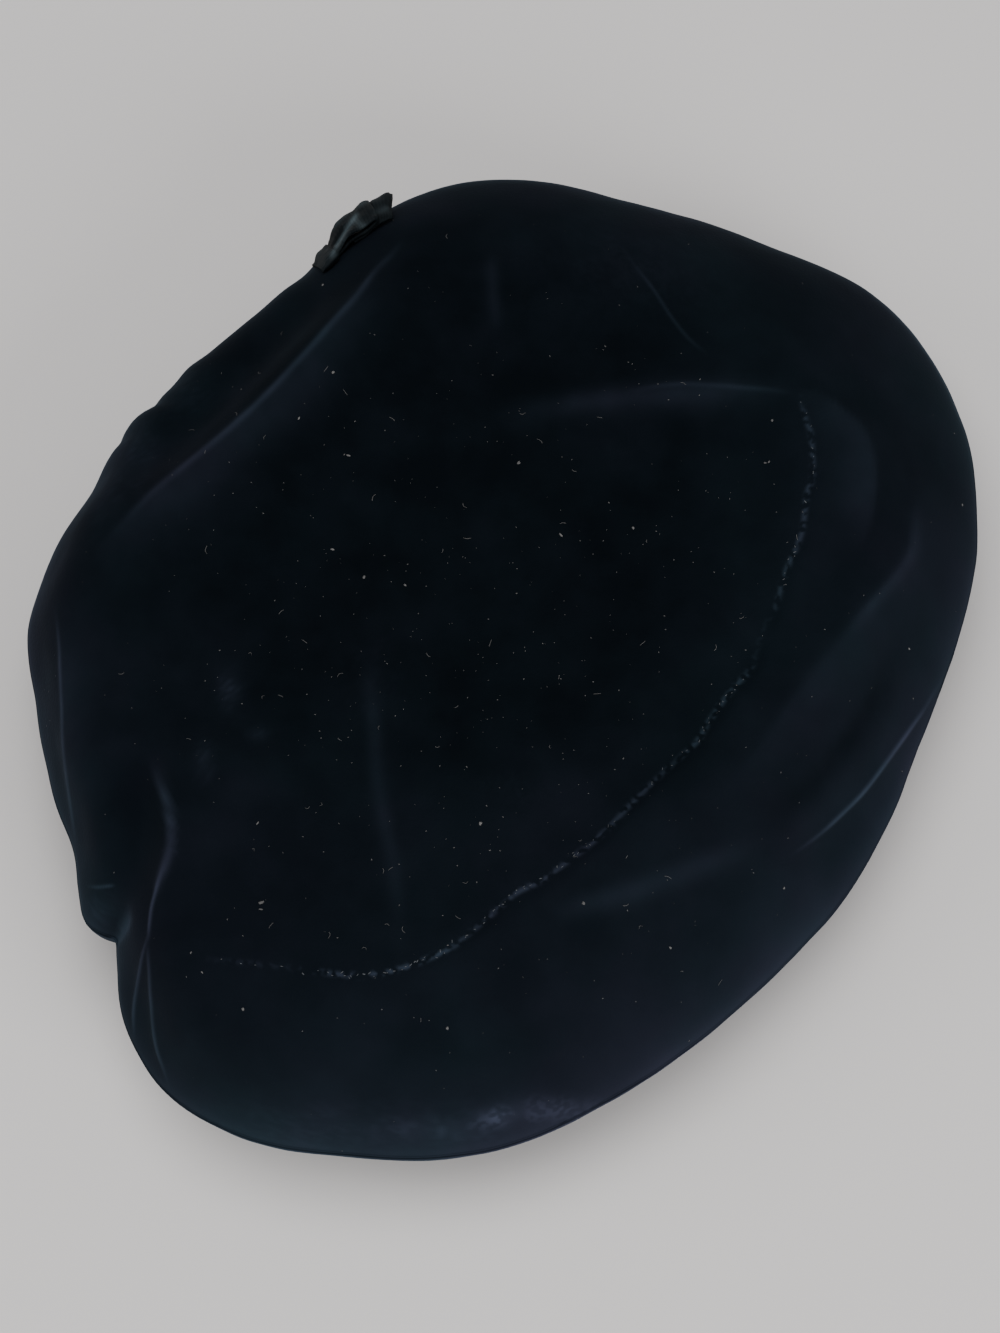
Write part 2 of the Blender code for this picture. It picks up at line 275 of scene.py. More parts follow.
# The camera of the photograph, and its picture of 1000 by 1333 pixels
PICTURE = (1000, 1333)
LENS = 90
SENSOR = 36
CAMERA_RISE = math.radians(66)
CAMERA_REACH = 906 * MM
CAMERA_AIM = np.array([-2.4, -9.45, 32.0]) * MM
PIXELS_PER_TURN = LENS / SENSOR * PICTURE[1]
PIXEL = CAMERA_REACH / PIXELS_PER_TURN
CAMERA_BACK = np.array([0, -math.cos(CAMERA_RISE), math.sin(CAMERA_RISE)])
CAMERA_UP = np.array([0, math.sin(CAMERA_RISE), math.cos(CAMERA_RISE)])
CAMERA_PLACE = CAMERA_AIM + CAMERA_REACH * CAMERA_BACK

# Marks are laid on cloth that faces the camera: not at all at the first slope, fully at the second
FACING_SLOPES = (-0.05, 0.15)

# Fine creases, laid where they show in the picture: rise and half widths in mm, how pointed the
# crest is (2 is round, 1 is sharp), how much paler the pile is laid on it, as crushed pile and as a
# painted highlight along the fold, or darker as painted shade where this is below 0, and over what
# half widths in mm (glow on the left, spread on the right), and picture places. Left and right are
# seen along the crease. They fade over a share of their length at their start and at their end.
CREASE_ENDS = (0.35, 0.3)
CREASES = [
    Crease("upper ridge line", 0.8, 9, 1.8, 1.3, 0.062, 0.9, 0.7, [
        (410, 230), (394, 252), (374, 273), (358, 296), (335, 321), (312, 348), (262, 400),
        (208, 449), (149, 498), (112, 540),
    ]),
    Crease("upper ridge bloom", 0.1, 14, 3, 2.0, 0.032, 9, 1.2, [
        (404, 240), (374, 273), (335, 321), (312, 348), (262, 400), (208, 449), (149, 498),
        (110, 540), (84, 580),
    ]),
    Crease("upper strip", 0, 1, 1, 2.0, 0.010, 6, 6, [
        (376, 240), (330, 296), (288, 342), (240, 384), (186, 430), (130, 478), (90, 540),
    ]),
    Crease("side edge", 0.5, 4, 1.3, 1.3, 0.08, 0.45, 0.45, [
        (54, 600), (58, 630), (61, 655), (63, 704), (65, 750), (70, 792), (75, 830), (81, 862),
    ]),
    Crease("side bloom", 0.1, 8, 3, 2.0, 0.022, 7, 1, [
        (52, 590), (61, 655), (63, 704), (65, 750), (70, 792), (78, 850),
    ]),
    Crease("side pleat", 1.4, 2.6, 3.2, 1.5, 0.085, 1.1, 1.1, [
        (150, 752), (158, 772), (167, 797), (172, 822), (172, 845), (167, 865), (159, 884),
        (154, 902),
    ]),
    Crease("side pleat foot", 0.7, 1.0, 1.2, 1.2, 0.13, 0.42, 0.42, [
        (169, 860), (160, 883), (153, 904), (150, 926), (148, 946),
    ]),
    Crease("left foot line", 0.6, 1.0, 1.2, 1.2, 0.11, 0.38, 0.38, [
        (149, 930), (146, 945), (142, 968), (137, 997), (135, 1022), (135, 1042),
    ]),
    Crease("right foot line", 0.7, 1.2, 1.1, 1.2, 0.11, 0.38, 0.38, [
        (148, 935), (149, 953), (151, 975), (152, 997), (154, 1022), (158, 1048), (164, 1070),
        (170, 1093),
    ]),
    Crease("lobe fold", 0.4, 1.2, 1.0, 1.3, 0.10, 0.4, 0.4, [
        (85, 886), (98, 887), (108, 886), (117, 885),
    ]),
    Crease("notch line", -0.8, 1.6, 1.8, 1.4, 0.06, 0.9, 0.9, [
        (106, 948), (118, 938), (125, 924), (128, 900),
    ]),
    Crease("lobe seam", 0.8, 2.2, 1.1, 1.2, 0.12, 0.5, 0.5, [
        (950, 664), (926, 705), (909, 728), (888, 757), (864, 789), (842, 812), (818, 835),
        (784, 860),
    ]),
    Crease("right band", 0.8, 9, 4, 1.6, 0.015, 8, 1.8, [
        (917, 465), (914, 523), (909, 552), (890, 581), (861, 615), (837, 649), (817, 673),
        (780, 722), (745, 770), (697, 808),
    ]),
    Crease("right valley", -0.4, 3, 3, 1.8, -0.013, 4.4, 3.2, [
        (908, 625), (891, 662), (872, 706), (843, 747), (804, 794), (755, 830),
    ]),
    Crease("right ridge", 0.3, 1.6, 1.3, 1.5, 0.03, 2.2, 0.9, [
        (916, 490), (914, 523), (909, 552), (890, 581), (861, 615), (837, 649),
    ]),
    Crease("corner fold", 0.6, 2.5, 6, 1.6, 0.026, 1, 7, [
        (780, 389), (815, 394), (842, 412), (864, 435), (872, 475), (868, 520), (856, 560),
    ]),
    Crease("lower band", 0.8, 3, 6, 1.6, 0.027, 3.6, 3.0, [
        (770, 838), (721, 857), (675, 874), (631, 891), (583, 904), (540, 918),
    ]),
    Crease("back fold", 1.0, 4, 6, 1.7, 0.028, 3.4, 4.0, [
        (480, 428), (520, 415), (560, 406), (600, 400), (640, 396), (680, 393), (721, 391),
        (769, 391), (800, 396),
    ]),
    Crease("back fold line", 0.2, 1, 1, 1.5, 0.03, 0.7, 0.7, [
        (620, 394), (650, 388), (680, 385), (721, 387), (769, 390), (800, 394),
    ]),
    Crease("middle streak", 0.35, 4, 4, 2.0, 0.02, 2.3, 2.3, [
        (366, 640), (371, 691), (379, 789), (394, 872), (403, 975),
    ]),
    Crease("top streak", 0.3, 2.5, 2.5, 2.0, 0.02, 1.8, 1.8, [
        (490, 245), (492, 275), (494, 305), (497, 335),
    ]),
    Crease("faint pull", 0.2, 0.9, 0.9, 1.5, 0.03, 0.5, 0.5, [
        (612, 235), (640, 272), (655, 292), (672, 318), (690, 340), (712, 358),
    ]),
]

# The line of stitches through the crown, from the back fold round to the lower left
STITCHED_LINE = [
    (800, 392), (806, 419), (811, 434), (813, 475), (807, 494), (802, 533), (786, 571),
    (776, 606), (766, 624), (757, 648), (750, 669), (731, 690), (709, 721), (697, 741),
    (672, 764), (640, 794), (603, 832), (564, 863), (542, 879), (514, 893), (492, 913),
    (470, 932), (453, 946), (431, 957), (403, 968), (376, 974), (345, 975), (290, 968),
    (240, 962), (190, 958),
]

# The line lies in a valley with dust in it: shares of its length over which it fades at its start
# and its end, depth and half width in mm, and the dust's paleness and half width
VALLEY_ENDS = (0.02, 0.3)
VALLEY_DEPTH = 0.6
VALLEY_WIDTH = 2.0
DUST_PALE = 0.15
DUST_WIDTH = 0.75

# How strongly the stitches show, from the start of their line to its end
STITCHES_SHOW = [
    (0.0, 0.0), (0.03, 0.5), (0.1, 0.65), (0.22, 0.55), (0.26, 0.1), (0.32, 0.1), (0.35, 0.6),
    (0.45, 0.7), (0.48, 0.3), (0.52, 0.55), (0.6, 0.65), (0.68, 0.9), (0.72, 0.4), (0.78, 0.95),
    (0.9, 0.85), (0.93, 0.15), (0.96, 0.2), (1.0, 0.0),
]

# Bruised and worn places of the pile: picture places, reach in mm, paleness
BRUISES = [
    Bruise((230, 690), (3.5, 5.5), 0.05),
    Bruise((205, 762), (3.0, 5.5), 0.04),
    Bruise((258, 734), (3.0, 2.0), 0.04),
    Bruise((372, 680), (9, 14), 0.008),
    Bruise((520, 785), (14, 6), 0.008),
    Bruise((124, 927), (1.6, 3.2), 0.08),
    Bruise((100, 912), (6, 5), 0.05),
    Bruise((493, 1118), (6, 2.6), 0.14),
    Bruise((545, 1110), (16, 3.6), 0.10),
    Bruise((450, 1130), (18, 3.0), 0.05),
    Bruise((330, 1128), (44, 8), 0.03),
    Bruise((650, 250), (34, 20), 0.012),
    Bruise((188, 396), (8, 8), 0.022),
    Bruise((134, 450), (8, 12), 0.028),
    Bruise((104, 500), (6, 10), 0.022),
]

# A painted sheen: the pile is drawn paler the more the cloth turns down, until it faces the floor
# (its slope is 1 where it faces up and -1 where it faces down). It is painted a little paler, too,
# away from the middle of the crown.
TURNED_SHEEN = 0.17
TURNED_POWER = 1.5
STEEPEST_SLOPE = -0.05
FLOOR_SLOPES = (-0.6, -0.1)
OFF_MIDDLE_SHEEN = 0.013
OFF_MIDDLE_SLOPE = -0.3
SHEEN_MIDDLE = np.array([-20, 28]) * MM
OFF_MIDDLE_REACH = (60 * MM, 108 * MM)

# Blotches that break up the paler pile and painted highlights along creases, at stitches and on
# bruises, and the painted sheen down the sides: size in mm and seed
CREASE_BLOTCHES = Blotch(6, 2.0)
STITCH_BLOTCHES = Blotch(1.5, 7.0)
BRUISE_BLOTCHES = Blotch(5, 9.0)
SIDE_BLOTCHES = Blotch(30, 11.0)

# The noise at which dusty patches and bruised places begin and are full, how much of a bruise
# shows between them, and how fast it fades outwards
DUST_PATCHES = (0.4, 0.62)
BRUISE_PATCHES = (0.2, 0.6)
BRUISE_LEAST = 0.45
BRUISE_FADE = 1.4

# A soft unevenness of the cloth: blotches, and their height in mm. It fades out near the floor.
SOFT_WAVES = [(Blotch(22, 3.0), 0.9), (Blotch(8, 5.0), 0.25)]
SOFT_WAVE_HEIGHTS = (2 * MM, 12 * MM)

# Stitches of the crown: spacing, how far they stray and how far ahead their way is taken, in
# pixels; how often one shows and how far it turns aside; spans of their three half sizes and of
# their height over the velvet, in mm
STITCH_SEED = 11
STITCH_SPACING = (2.5, 6)
STITCH_STRAY = 1.6
STITCH_AHEAD = 4
STITCH_CHANCE = 0.7
STITCH_ASIDE = 0.9
STITCH_SIZES = ((0.15, 0.6), (0.08, 0.17), (0.06, 0.14))
STITCH_LIFT = (-0.05, 0.1)

# Stitches of the headband: how many, where, and their half sizes in mm
BAND_STITCHES = 108
BAND_STITCH_RADIUS = OPENING_RADIUS + 0.15 * MM
BAND_STITCH_HEIGHT = 4 * MM
BAND_STITCH_SIZE = (1.3, 0.22, 0.2)

# Fine lint: how many specks and how often one of them is a fibre, the middle and spread of their
# places across and down the picture, and sizes and heights over the velvet in mm. Small specks are
# more common, as the power gives. A speck is stretched one way and flattened in the other two.
LINT_SEED = 5
FINE_SPECKS = 760
FIBRE_EVERY = 11
SPECKS_ACROSS = (480, 210)
SPECKS_DOWN = (640, 220)
SPECK_LEAST = 0.05
SPECK_MORE = 0.11
SPECK_POWER = 1.6
SPECK_STRETCH = (0.8, 2.2)
SPECK_WIDTH = 0.8
SPECK_THICKNESS = 0.5
SPECK_LIFT = 0.08
FIBRE_LENGTHS = (0.8, 2.2)
FIBRE_BENDS = (-0.5, 0.5)
FIBRE_RADIUS = 0.045
FIBRE_LIFT = 0.12

# A speck that stands out is a clump of this many bodies
CLUMP = 3

# Lint that stands out: picture places and size in mm
SPECKS = [
    (772, 421, 0.26), (769, 462, 0.24), (243, 1009, 0.22), (261, 909, 0.24), (191, 953, 0.2),
    (202, 972, 0.2), (333, 372, 0.30), (348, 456, 0.32), (299, 418, 0.24), (519, 463, 0.26),
    (561, 535, 0.28), (633, 528, 0.24), (333, 550, 0.30), (364, 577, 0.26), (405, 585, 0.22),
    (481, 823, 0.34), (261, 903, 0.34), (258, 823, 0.24), (447, 1028, 0.30), (784, 888, 0.24),
    (583, 903, 0.28), (670, 948, 0.26), (909, 649, 0.24), (962, 505, 0.26), (765, 463, 0.24),
    (323, 285, 0.24),
]


# ---- Drape ----

def ease(value, start, end):
    """Rise smoothly from 0 at start to 1 at end."""
    share = np.clip((value - start) / (end - start), 0, 1)
    return share * share * (3 - 2 * share)


def tapered(along, start, end):
    """1 along a line, but for a share of it at its start and its end, where it fades to 0."""
    return ease(along, 0, start) * ease(1 - along, 0, end)


def between(edges, count):
    """Evenly spaced values from one edge to the other."""
    return np.linspace(edges[0], edges[1], count)


def around(rows, column, bearing):
    """A smooth closed curve through one column of a table, read at bearings in degrees."""
    knots = np.array([row.bearing for row in rows], float)
    values = np.array([getattr(row, column) for row in rows], float)
    knots = np.concatenate([knots[-2:] - 360, knots, knots[:3] + 360])
    values = np.concatenate([values[-2:], values, values[:3]])
    slopes = (values[2:] - values[:-2]) / (knots[2:] - knots[:-2])
    bearing = np.mod(bearing, 360)
    low = np.clip(np.searchsorted(knots, bearing, side="right") - 1, 1, len(knots) - 3)
    span = knots[low + 1] - knots[low]
    share = (bearing - knots[low]) / span
    square = share * share
    cube = square * share
    return (
        (2 * cube - 3 * square + 1) * values[low]
        + (cube - 2 * square + share) * span * slopes[low - 1]
        + (3 * square - 2 * cube) * values[low + 1]
        + (cube - square) * span * slopes[low]
    )


def near_path(places, path, reach):
    """Which places lie in the box round a path, a reach wider on each side."""
    return np.all((places > path.min(axis=0) - reach) & (places < path.max(axis=0) + reach), axis=1)


def nearest_on_path(places, path):
    """Each place's distance from a path, on which side it lies, and how far along."""
    first = path[:-1]
    step = path[1:] - first
    away = places[:, None, :] - first
    share = np.clip((away * step).sum(axis=2) / (step ** 2).sum(axis=1), 0, 1)
    off = away - share[:, :, None] * step
    distance = (off ** 2).sum(axis=2)
    pick = np.argmin(distance, axis=1)
    each = np.arange(len(places))
    off = off[each, pick]
    turn = step[pick, 0] * off[:, 1] - step[pick, 1] * off[:, 0]
    return np.sqrt(distance[each, pick]), turn, (pick + share[each, pick]) / len(step)


def smooth_path(places, per_span):
    """A smooth curve through places, with extra points in each span."""
    points = np.array(places, float)
    ends = np.vstack([2 * points[0] - points[1], points, 2 * points[-1] - points[-2]])
    share = np.linspace(0, 1, per_span, endpoint=False)[:, None]
    curve = []
    for before, start, end, after in zip(ends, ends[1:], ends[2:], ends[3:]):
        curve.append(
            start
            + share * (end - before) / 2
            + share ** 2 * (before - 2.5 * start + 2 * end - after / 2)
            + share ** 3 * ((after - before) / 2 + 1.5 * (start - end))
        )
    return np.vstack(curve + [points[-1:]])


def lengths_along(path):
    """How far each point of a path lies along it."""
    steps = np.linalg.norm(np.diff(path, axis=0), axis=1)
    return np.concatenate([[0], np.cumsum(steps)])


def fold_rise(plan):
    """The height that the large folds add over places of the plan."""
    total = np.zeros(len(plan))
    share = np.linspace(0, 1, 25)[:, None]
    for fold in FOLDS:
        start, middle, end = (np.array(place) * MM for place in (fold.start, fold.middle, fold.end))
        pull = 2 * middle - (start + end) / 2
        path = (1 - share) ** 2 * start + 2 * share * (1 - share) * pull + share ** 2 * end
        close = near_path(plan, path, 3 * max(fold.left, fold.right) * MM)
        distance, turn, along = nearest_on_path(plan[close], path)
        width = np.where(turn > 0, fold.left, fold.right) * MM
        taper = tapered(along, FOLD_TAPER, FOLD_TAPER)
        total[close] += fold.rise * MM * taper * np.exp(-(distance / width) ** 2)
    return total


def drape(points):
    """Carry points of the turned form to their places on the resting hat."""
    x, y, z = points.T
    radius = np.hypot(x, y)
    bearing = np.degrees(np.arctan2(y, x))
    reach = around(OUTLINE, "reach", bearing) * MM
    for gather in GATHERS:
        turn = (bearing - gather.bearing + 180) % 360 - 180
        reach -= gather.depth * MM * np.exp(-(turn / gather.spread) ** 2)
    turn = np.radians(bearing - OPENING_BEARING)
    across_oval = np.hypot(OPENING_SHORT * np.cos(turn), OPENING_LONG * np.sin(turn))
    oval = OPENING_LONG * OPENING_SHORT / 2 / across_oval
    shoulder = around(OUTLINE, "shoulder", bearing) * MM / SHOULDER_RADIUS
    is_crown = ease(z, HEADBAND_HEIGHT, HEADBAND_HEIGHT + CROWN_FOOT)
    inner = oval / OPENING_RADIUS * (1 - is_crown) + shoulder * is_crown
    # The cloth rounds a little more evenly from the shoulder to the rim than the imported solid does
    straight = np.clip((radius - SHOULDER_RADIUS) / (RIM_RADIUS - SHOULDER_RADIUS), 0, 1)
    share = (ease(radius, SHOULDER_RADIUS, RIM_RADIUS) + straight) / 2
    scale = inner * (1 - share) + reach / RIM_RADIUS * share
    plan = np.column_stack([x * scale, y * scale])
    edge = around(OUTLINE, "edge", bearing) * MM * share * ease(z, 0, EDGE_HEIGHT)
    z = z + edge + fold_rise(plan) * ease(z, FOLD_FOOT, FOLD_TOP)
    return np.column_stack([plan - PLAN_MIDDLE, z])


# ---- Where things show in the picture ----

def in_picture(points):
    """Where points show in the picture, in its pixels."""
    away = points - CAMERA_PLACE
    depth = -away @ CAMERA_BACK
    return np.column_stack([
        PICTURE[0] / 2 + PIXELS_PER_TURN * away[:, 0] / depth,
        PICTURE[1] / 2 - PIXELS_PER_TURN * (away @ CAMERA_UP) / depth,
    ])


def from_picture(place):
    """The direction from the camera through a place of the picture."""
    across = (place[0] - PICTURE[0] / 2) / PIXELS_PER_TURN
    up = (PICTURE[1] / 2 - place[1]) / PIXELS_PER_TURN
    return Vector(np.array([across, 0, 0]) + up * CAMERA_UP - CAMERA_BACK).normalized()


def blotches(points, blotch):
    """Soft noise from 0 to 1 over points."""
    size = blotch.size * MM
    seed = blotch.seed
    return np.array([
        0.5 + 0.5 * noise.noise(Vector((x / size + seed, y / size - seed, z / size)))
        for x, y, z in points
    ])


# ---- Meshes and sections ----

def finished_mesh(name, form):
    """A bmesh as a mesh that is smooth all over."""
    for facet in form.faces:
        facet.smooth = True
    mesh = bpy.data.meshes.new(name)
    form.to_mesh(mesh)
    form.free()
    return mesh


def in_scene(name, data):
    """A new object in the scene, at the origin and unturned."""
    thing = bpy.data.objects.new(name, data)
    bpy.context.scene.collection.objects.link(thing)
    return thing


def crown_height(radius):
    """Height of the turned crown's outer side over a radius."""
    if radius <= SHOULDER_RADIUS:
        return CROWN_HEIGHT - CROWN_DISH * (1 - (radius / SHOULDER_RADIUS) ** 2)
    share = (radius - SHOULDER_RADIUS) / (RIM_RADIUS - SHOULDER_RADIUS)
    fall = (1 - share ** SHOULDER_FULLNESS) ** (1 / SHOULDER_FULLNESS)
    return EDGE_HEIGHT + (CROWN_HEIGHT - EDGE_HEIGHT) * fall


def crown_line():
    """The crown's outer side from its middle down to where its edge rolls in."""
    line = [SHOULDER_RADIUS * ring / PLATEAU_RINGS for ring in range(PLATEAU_RINGS)]
    for ring in range(SHOULDER_RINGS):
        turn = math.pi / 2 * ring / SHOULDER_RINGS
        line.append(SHOULDER_RADIUS + (RIM_RADIUS - SHOULDER_RADIUS) * math.sin(turn))
    line = [(radius, crown_height(radius)) for radius in line]
    return [place for place in line if place[1] > EDGE_HEIGHT + ROLL_START]


def underside_line():
    """The underside's outer side from where its edge rolls in to the head opening."""
    opening = OPENING_RADIUS + CLOTH + GAP
    rest_edge = opening + REST_WIDTH
    line = []
    for ring in range(1, UNDERSIDE_RINGS):
        turn = math.pi / 2 * ring / UNDERSIDE_RINGS
        share = math.cos(turn)
        lift = 1 - (1 - share ** UNDERSIDE_FULLNESS) ** (1 / UNDERSIDE_FULLNESS)
        line.append((rest_edge + (RIM_RADIUS - rest_edge) * share, EDGE_HEIGHT * lift))
    line = [place for place in line if place[1] < EDGE_HEIGHT - ROLL_START]
    for ring in range(REST_RINGS + 1):
        line.append((rest_edge + (opening - rest_edge) * ring / REST_RINGS, 0))
    return line


def seam_roll(way):
    """The rolled edge beside the rim seam: up from it for way 1, down from it for way -1."""
    return [
        (RIM_RADIUS - inwards * MM, EDGE_HEIGHT + way * away * MM) for inwards, away in SEAM_ROLL
    ]


def lining_line(line):
    """The same line one cloth thickness inside the hat, with fewer points."""
    last = len(line) - 1
    picks = {round(last * ring / LINING_RINGS) for ring in range(LINING_RINGS + 1)}
    inside = []
    for index in sorted(picks):
        before = line[max(index - 1, 0)]
        after = line[min(index + 1, last)]
        run = after[0] - before[0]
        drop = after[1] - before[1]
        length = math.hypot(run, drop)
        radius = line[index][0] + CLOTH * drop / length
        inside.append((max(radius, 0), line[index][1] - CLOTH * run / length))
    return inside


def spun_form(name, outer, lining):
    """Turn a section about +Z into a closed form, of which the attribute called face marks the
    outer points with 1. The second material is for faces that have none of these.
    """
    form = bmesh.new()
    face = form.verts.layers.float.new("face")
    corners = []
    for side, line in ((1.0, outer), (0.0, lining)):
        for radius, height in line:
            corner = form.verts.new((radius, 0, height))
            corner[face] = side
            corners.append(corner)
    for first, second in zip(corners, corners[1:]):
        form.edges.new((first, second))
    if corners[0].co.x > AXIS_REACH:
        form.edges.new((corners[-1], corners[0]))
    bmesh.ops.spin(
        form, geom=form.verts[:] + form.edges[:], cent=(0, 0, 0), axis=(0, 0, 1), dvec=(0, 0, 0),
        angle=math.tau, steps=TURN_STEPS,
        use_merge=True, use_normal_flip=False, use_duplicate=False,
    )
    middle = [
        corner for corner in form.verts if math.hypot(corner.co.x, corner.co.y) < AXIS_REACH
    ]
    bmesh.ops.remove_doubles(form, verts=middle, dist=2 * AXIS_REACH)
    bmesh.ops.recalc_face_normals(form, faces=form.faces[:])
    for facet in form.faces:
        facet.material_index = 0 if any(corner[face] > 0.5 for corner in facet.verts) else 1
    return finished_mesh(name, form)


def mesh_points(mesh):
    """A mesh's points, a row each."""
    points = np.empty(len(mesh.vertices) * 3)
    mesh.vertices.foreach_get("co", points)
    return points.reshape(-1, 3)


def move_points(mesh, points):
    """Put a mesh's points at new places."""
    mesh.vertices.foreach_set("co", points.ravel())
    mesh.update()


def mesh_normals(mesh):
    """The directions that a mesh's points face, a row each."""
    normals = np.empty(len(mesh.vertices) * 3)
    mesh.vertices.foreach_get("normal", normals)
    return normals.reshape(-1, 3)


def read_attribute(mesh, name):
    """An attribute's value at each point of a mesh."""
    values = np.empty(len(mesh.vertices))
    mesh.attributes[name].data.foreach_get("value", values)
    return values


def write_attribute(mesh, name, values):
    """Add an attribute with a value for each point of a mesh."""
    layer = mesh.attributes.new(name, "FLOAT", "POINT")
    layer.data.foreach_set("value", values.astype(np.float32))


def shown_places(mesh):
    """Which outer points of a draped mesh face the camera, how fully, and where those show."""
    points = mesh_points(mesh)
    towards = CAMERA_PLACE - points
    towards /= np.linalg.norm(towards, axis=1)[:, None]
    slope = (mesh_normals(mesh) * towards).sum(axis=1)
    facing = ease(slope, *FACING_SLOPES) * read_attribute(mesh, "face")
    shown = np.flatnonzero(facing > 0)
    return shown, facing[shown], in_picture(points[shown])


def off_bruise(places, bruise):
    """How far places of the picture are from a bruise's middle, squared, with its reach as 1."""
    off = (places - bruise.place) * PIXEL / MM / bruise.reach
    return (off ** 2).sum(axis=1)


def split_near_lines(mesh):
    """Split the faces of a turned mesh where fine marks will lie, so that these come out even."""
    turned = mesh_points(mesh)
    move_points(mesh, drape(turned))
    shown, _, places = shown_places(mesh)
    move_points(mesh, turned)
    picked = np.zeros(len(turned), bool)
    for line in [crease.places for crease in CREASES if crease.glow < FINE_GLOW] + [STITCHED_LINE]:
        distance, _, _ = nearest_on_path(places, smooth_path(line, 3))
        picked[shown[distance < FINE_REACH * MM / PIXEL]] = True
    for bruise in BRUISES:
        if bruise.pale > SHARP_BRUISE:
            picked[shown[off_bruise(places, bruise) < SHARP_BRUISE_REACH]] = True
    form = bmesh.new()
    form.from_mesh(mesh)
    form.verts.ensure_lookup_table()
    facets = {facet for index in np.flatnonzero(picked) for facet in form.verts[index].link_faces}
    edges = {edge for facet in facets for edge in facet.edges}
    bmesh.ops.subdivide_edges(form, edges=list(edges), cuts=FINE_CUTS, use_grid_fill=True)
    form.to_mesh(mesh)
    form.free()


def stitches_show(along):
    """How strongly the stitches show at shares of their line."""
    return np.interp(along, *zip(*STITCHES_SHOW))


def fine_creases(places):
    """How far the fine creases raise places of the picture, and how pale they leave the pile, as
    crushed pile and painted highlight, or darker as painted shade.
    """
    rise = np.zeros(len(places))
    pale = np.zeros(len(places))
    for crease in CREASES:
        path = smooth_path(crease.places, 6)
        close = near_path(places, path, 3 * max(crease.left, crease.right) * MM / PIXEL)
        if not close.any():
            continue
        distance, turn, along = nearest_on_path(places[close], path)
        taper = tapered(along, *CREASE_ENDS)
        width = np.where(turn < 0, crease.left, crease.right) * MM / PIXEL
        rise[close] += crease.rise * MM * taper * np.exp(-(distance / width) ** crease.point)
        # Paler pile along a crease: crushed pile and a painted highlight; a negative paleness is
        # painted shade
        width = np.where(turn < 0, crease.glow, crease.spread) * MM / PIXEL
        pale[close] += crease.pale * taper * np.exp(-(distance / width) ** 2)
    return rise, pale


def uneven(points, blotch):
    """A factor from 0.7 to 1.3 over points."""
    return 0.7 + 0.6 * blotches(points, blotch)


def marked_pile(points, places):
    """How far creases and stitches raise points shown at places of the picture, and how pale
    these and the bruises leave the pile; along the creases this is partly painted highlight and
    shade.
    """
    rise, pale = fine_creases(places)
    distance, _, along = nearest_on_path(places, smooth_path(STITCHED_LINE, 4))
    distance *= PIXEL / MM
    valley = tapered(along, *VALLEY_ENDS) * np.exp(-(distance / VALLEY_WIDTH) ** 2)
    patchy = ease(blotches(points, STITCH_BLOTCHES), *DUST_PATCHES)
    pale *= uneven(points, CREASE_BLOTCHES)
    pale += DUST_PALE * stitches_show(along) * patchy * np.exp(-(distance / DUST_WIDTH) ** 2)
    worn = patchy * ease(blotches(points, BRUISE_BLOTCHES), *BRUISE_PATCHES)
    worn = BRUISE_LEAST + (1 - BRUISE_LEAST) * worn
    for bruise in BRUISES:
        pale += bruise.pale * np.exp(-BRUISE_FADE * off_bruise(places, bruise)) * worn
    return rise - VALLEY_DEPTH * MM * valley, pale


def painted_sheen(points, slope, seam_near):
    """A painted sheen: how pale the pile is drawn where the cloth bends over, so that the sides of
    the hat are paler than its top, and away from the middle of the crown.
    """
    # Painted sheen: paler where the cloth turns down, and away from the middle of the crown
    turned = (1 - np.clip(slope, STEEPEST_SLOPE, 1)) ** TURNED_POWER * ease(slope, *FLOOR_SLOPES)
    off_middle = np.hypot(*(points[:, :2] - SHEEN_MIDDLE).T)
    sheen_pale = TURNED_SHEEN * turned * (1 - SEAM_SHEEN_CUT * seam_near)
    sheen_pale += OFF_MIDDLE_SHEEN * ease(off_middle, *OFF_MIDDLE_REACH) * (slope > OFF_MIDDLE_SLOPE)
    return sheen_pale * uneven(points, SIDE_BLOTCHES)


def crease_cloth(mesh, seam_near, turned_slope):
    """Raise the fine creases of a draped velvet mesh and mark its paler pile, painted sheen and
    shade.
    """
    points = mesh_points(mesh)
    normals = mesh_normals(mesh)
    shown, facing, places = shown_places(mesh)
    rise, marked = marked_pile(points[shown], places)
    # The painted sheen of the sides, to which the crease, dust and bruise marks are added
    pale = painted_sheen(points, 0.25 * normals[:, 2] + 0.75 * turned_slope, seam_near)
    pale[shown] += marked * facing
    points[shown] += normals[shown] * (rise * facing)[:, None]
    wave = sum(height * (blotches(points, blotch) - 0.5) for blotch, height in SOFT_WAVES)
    wave *= MM * read_attribute(mesh, "face") * ease(points[:, 2], *SOFT_WAVE_HEIGHTS)
    move_points(mesh, points + normals * wave[:, None])
    # Paleness of the pile: crushed pile, dust and bruises, with painted sheen, highlights and shade
    write_attribute(mesh, "pale", np.clip(pale, 0, 1))


# ---- Materials ----

def linear(colour):
    """An sRGB hex colour as linear red, green, blue and alpha."""
    channels = [int(colour[place:place + 2], 16) / 255 for place in (1, 3, 5)]
    return [c / 12.92 if c <= 0.04045 else ((c + 0.055) / 1.055) ** 2.4 for c in channels] + [1]


def add(tree, kind, settings=None, inputs=None):
    """Add a node with its settings, and with values or links on its inputs."""
    made = tree.nodes.new("ShaderNode" + kind)
    for name, value in (settings or {}).items():
        setattr(made, name, value)
    for key, value in (inputs or {}).items():
        if isinstance(value, bpy.types.NodeSocket):
            tree.links.new(value, made.inputs[key])
        else:
            made.inputs[key].default_value = value
    return made


def patch_scale(size):
    """The scale at which a noise node's patches are a size in mm, over coordinates in metres."""
    return 1 / (size * MM)


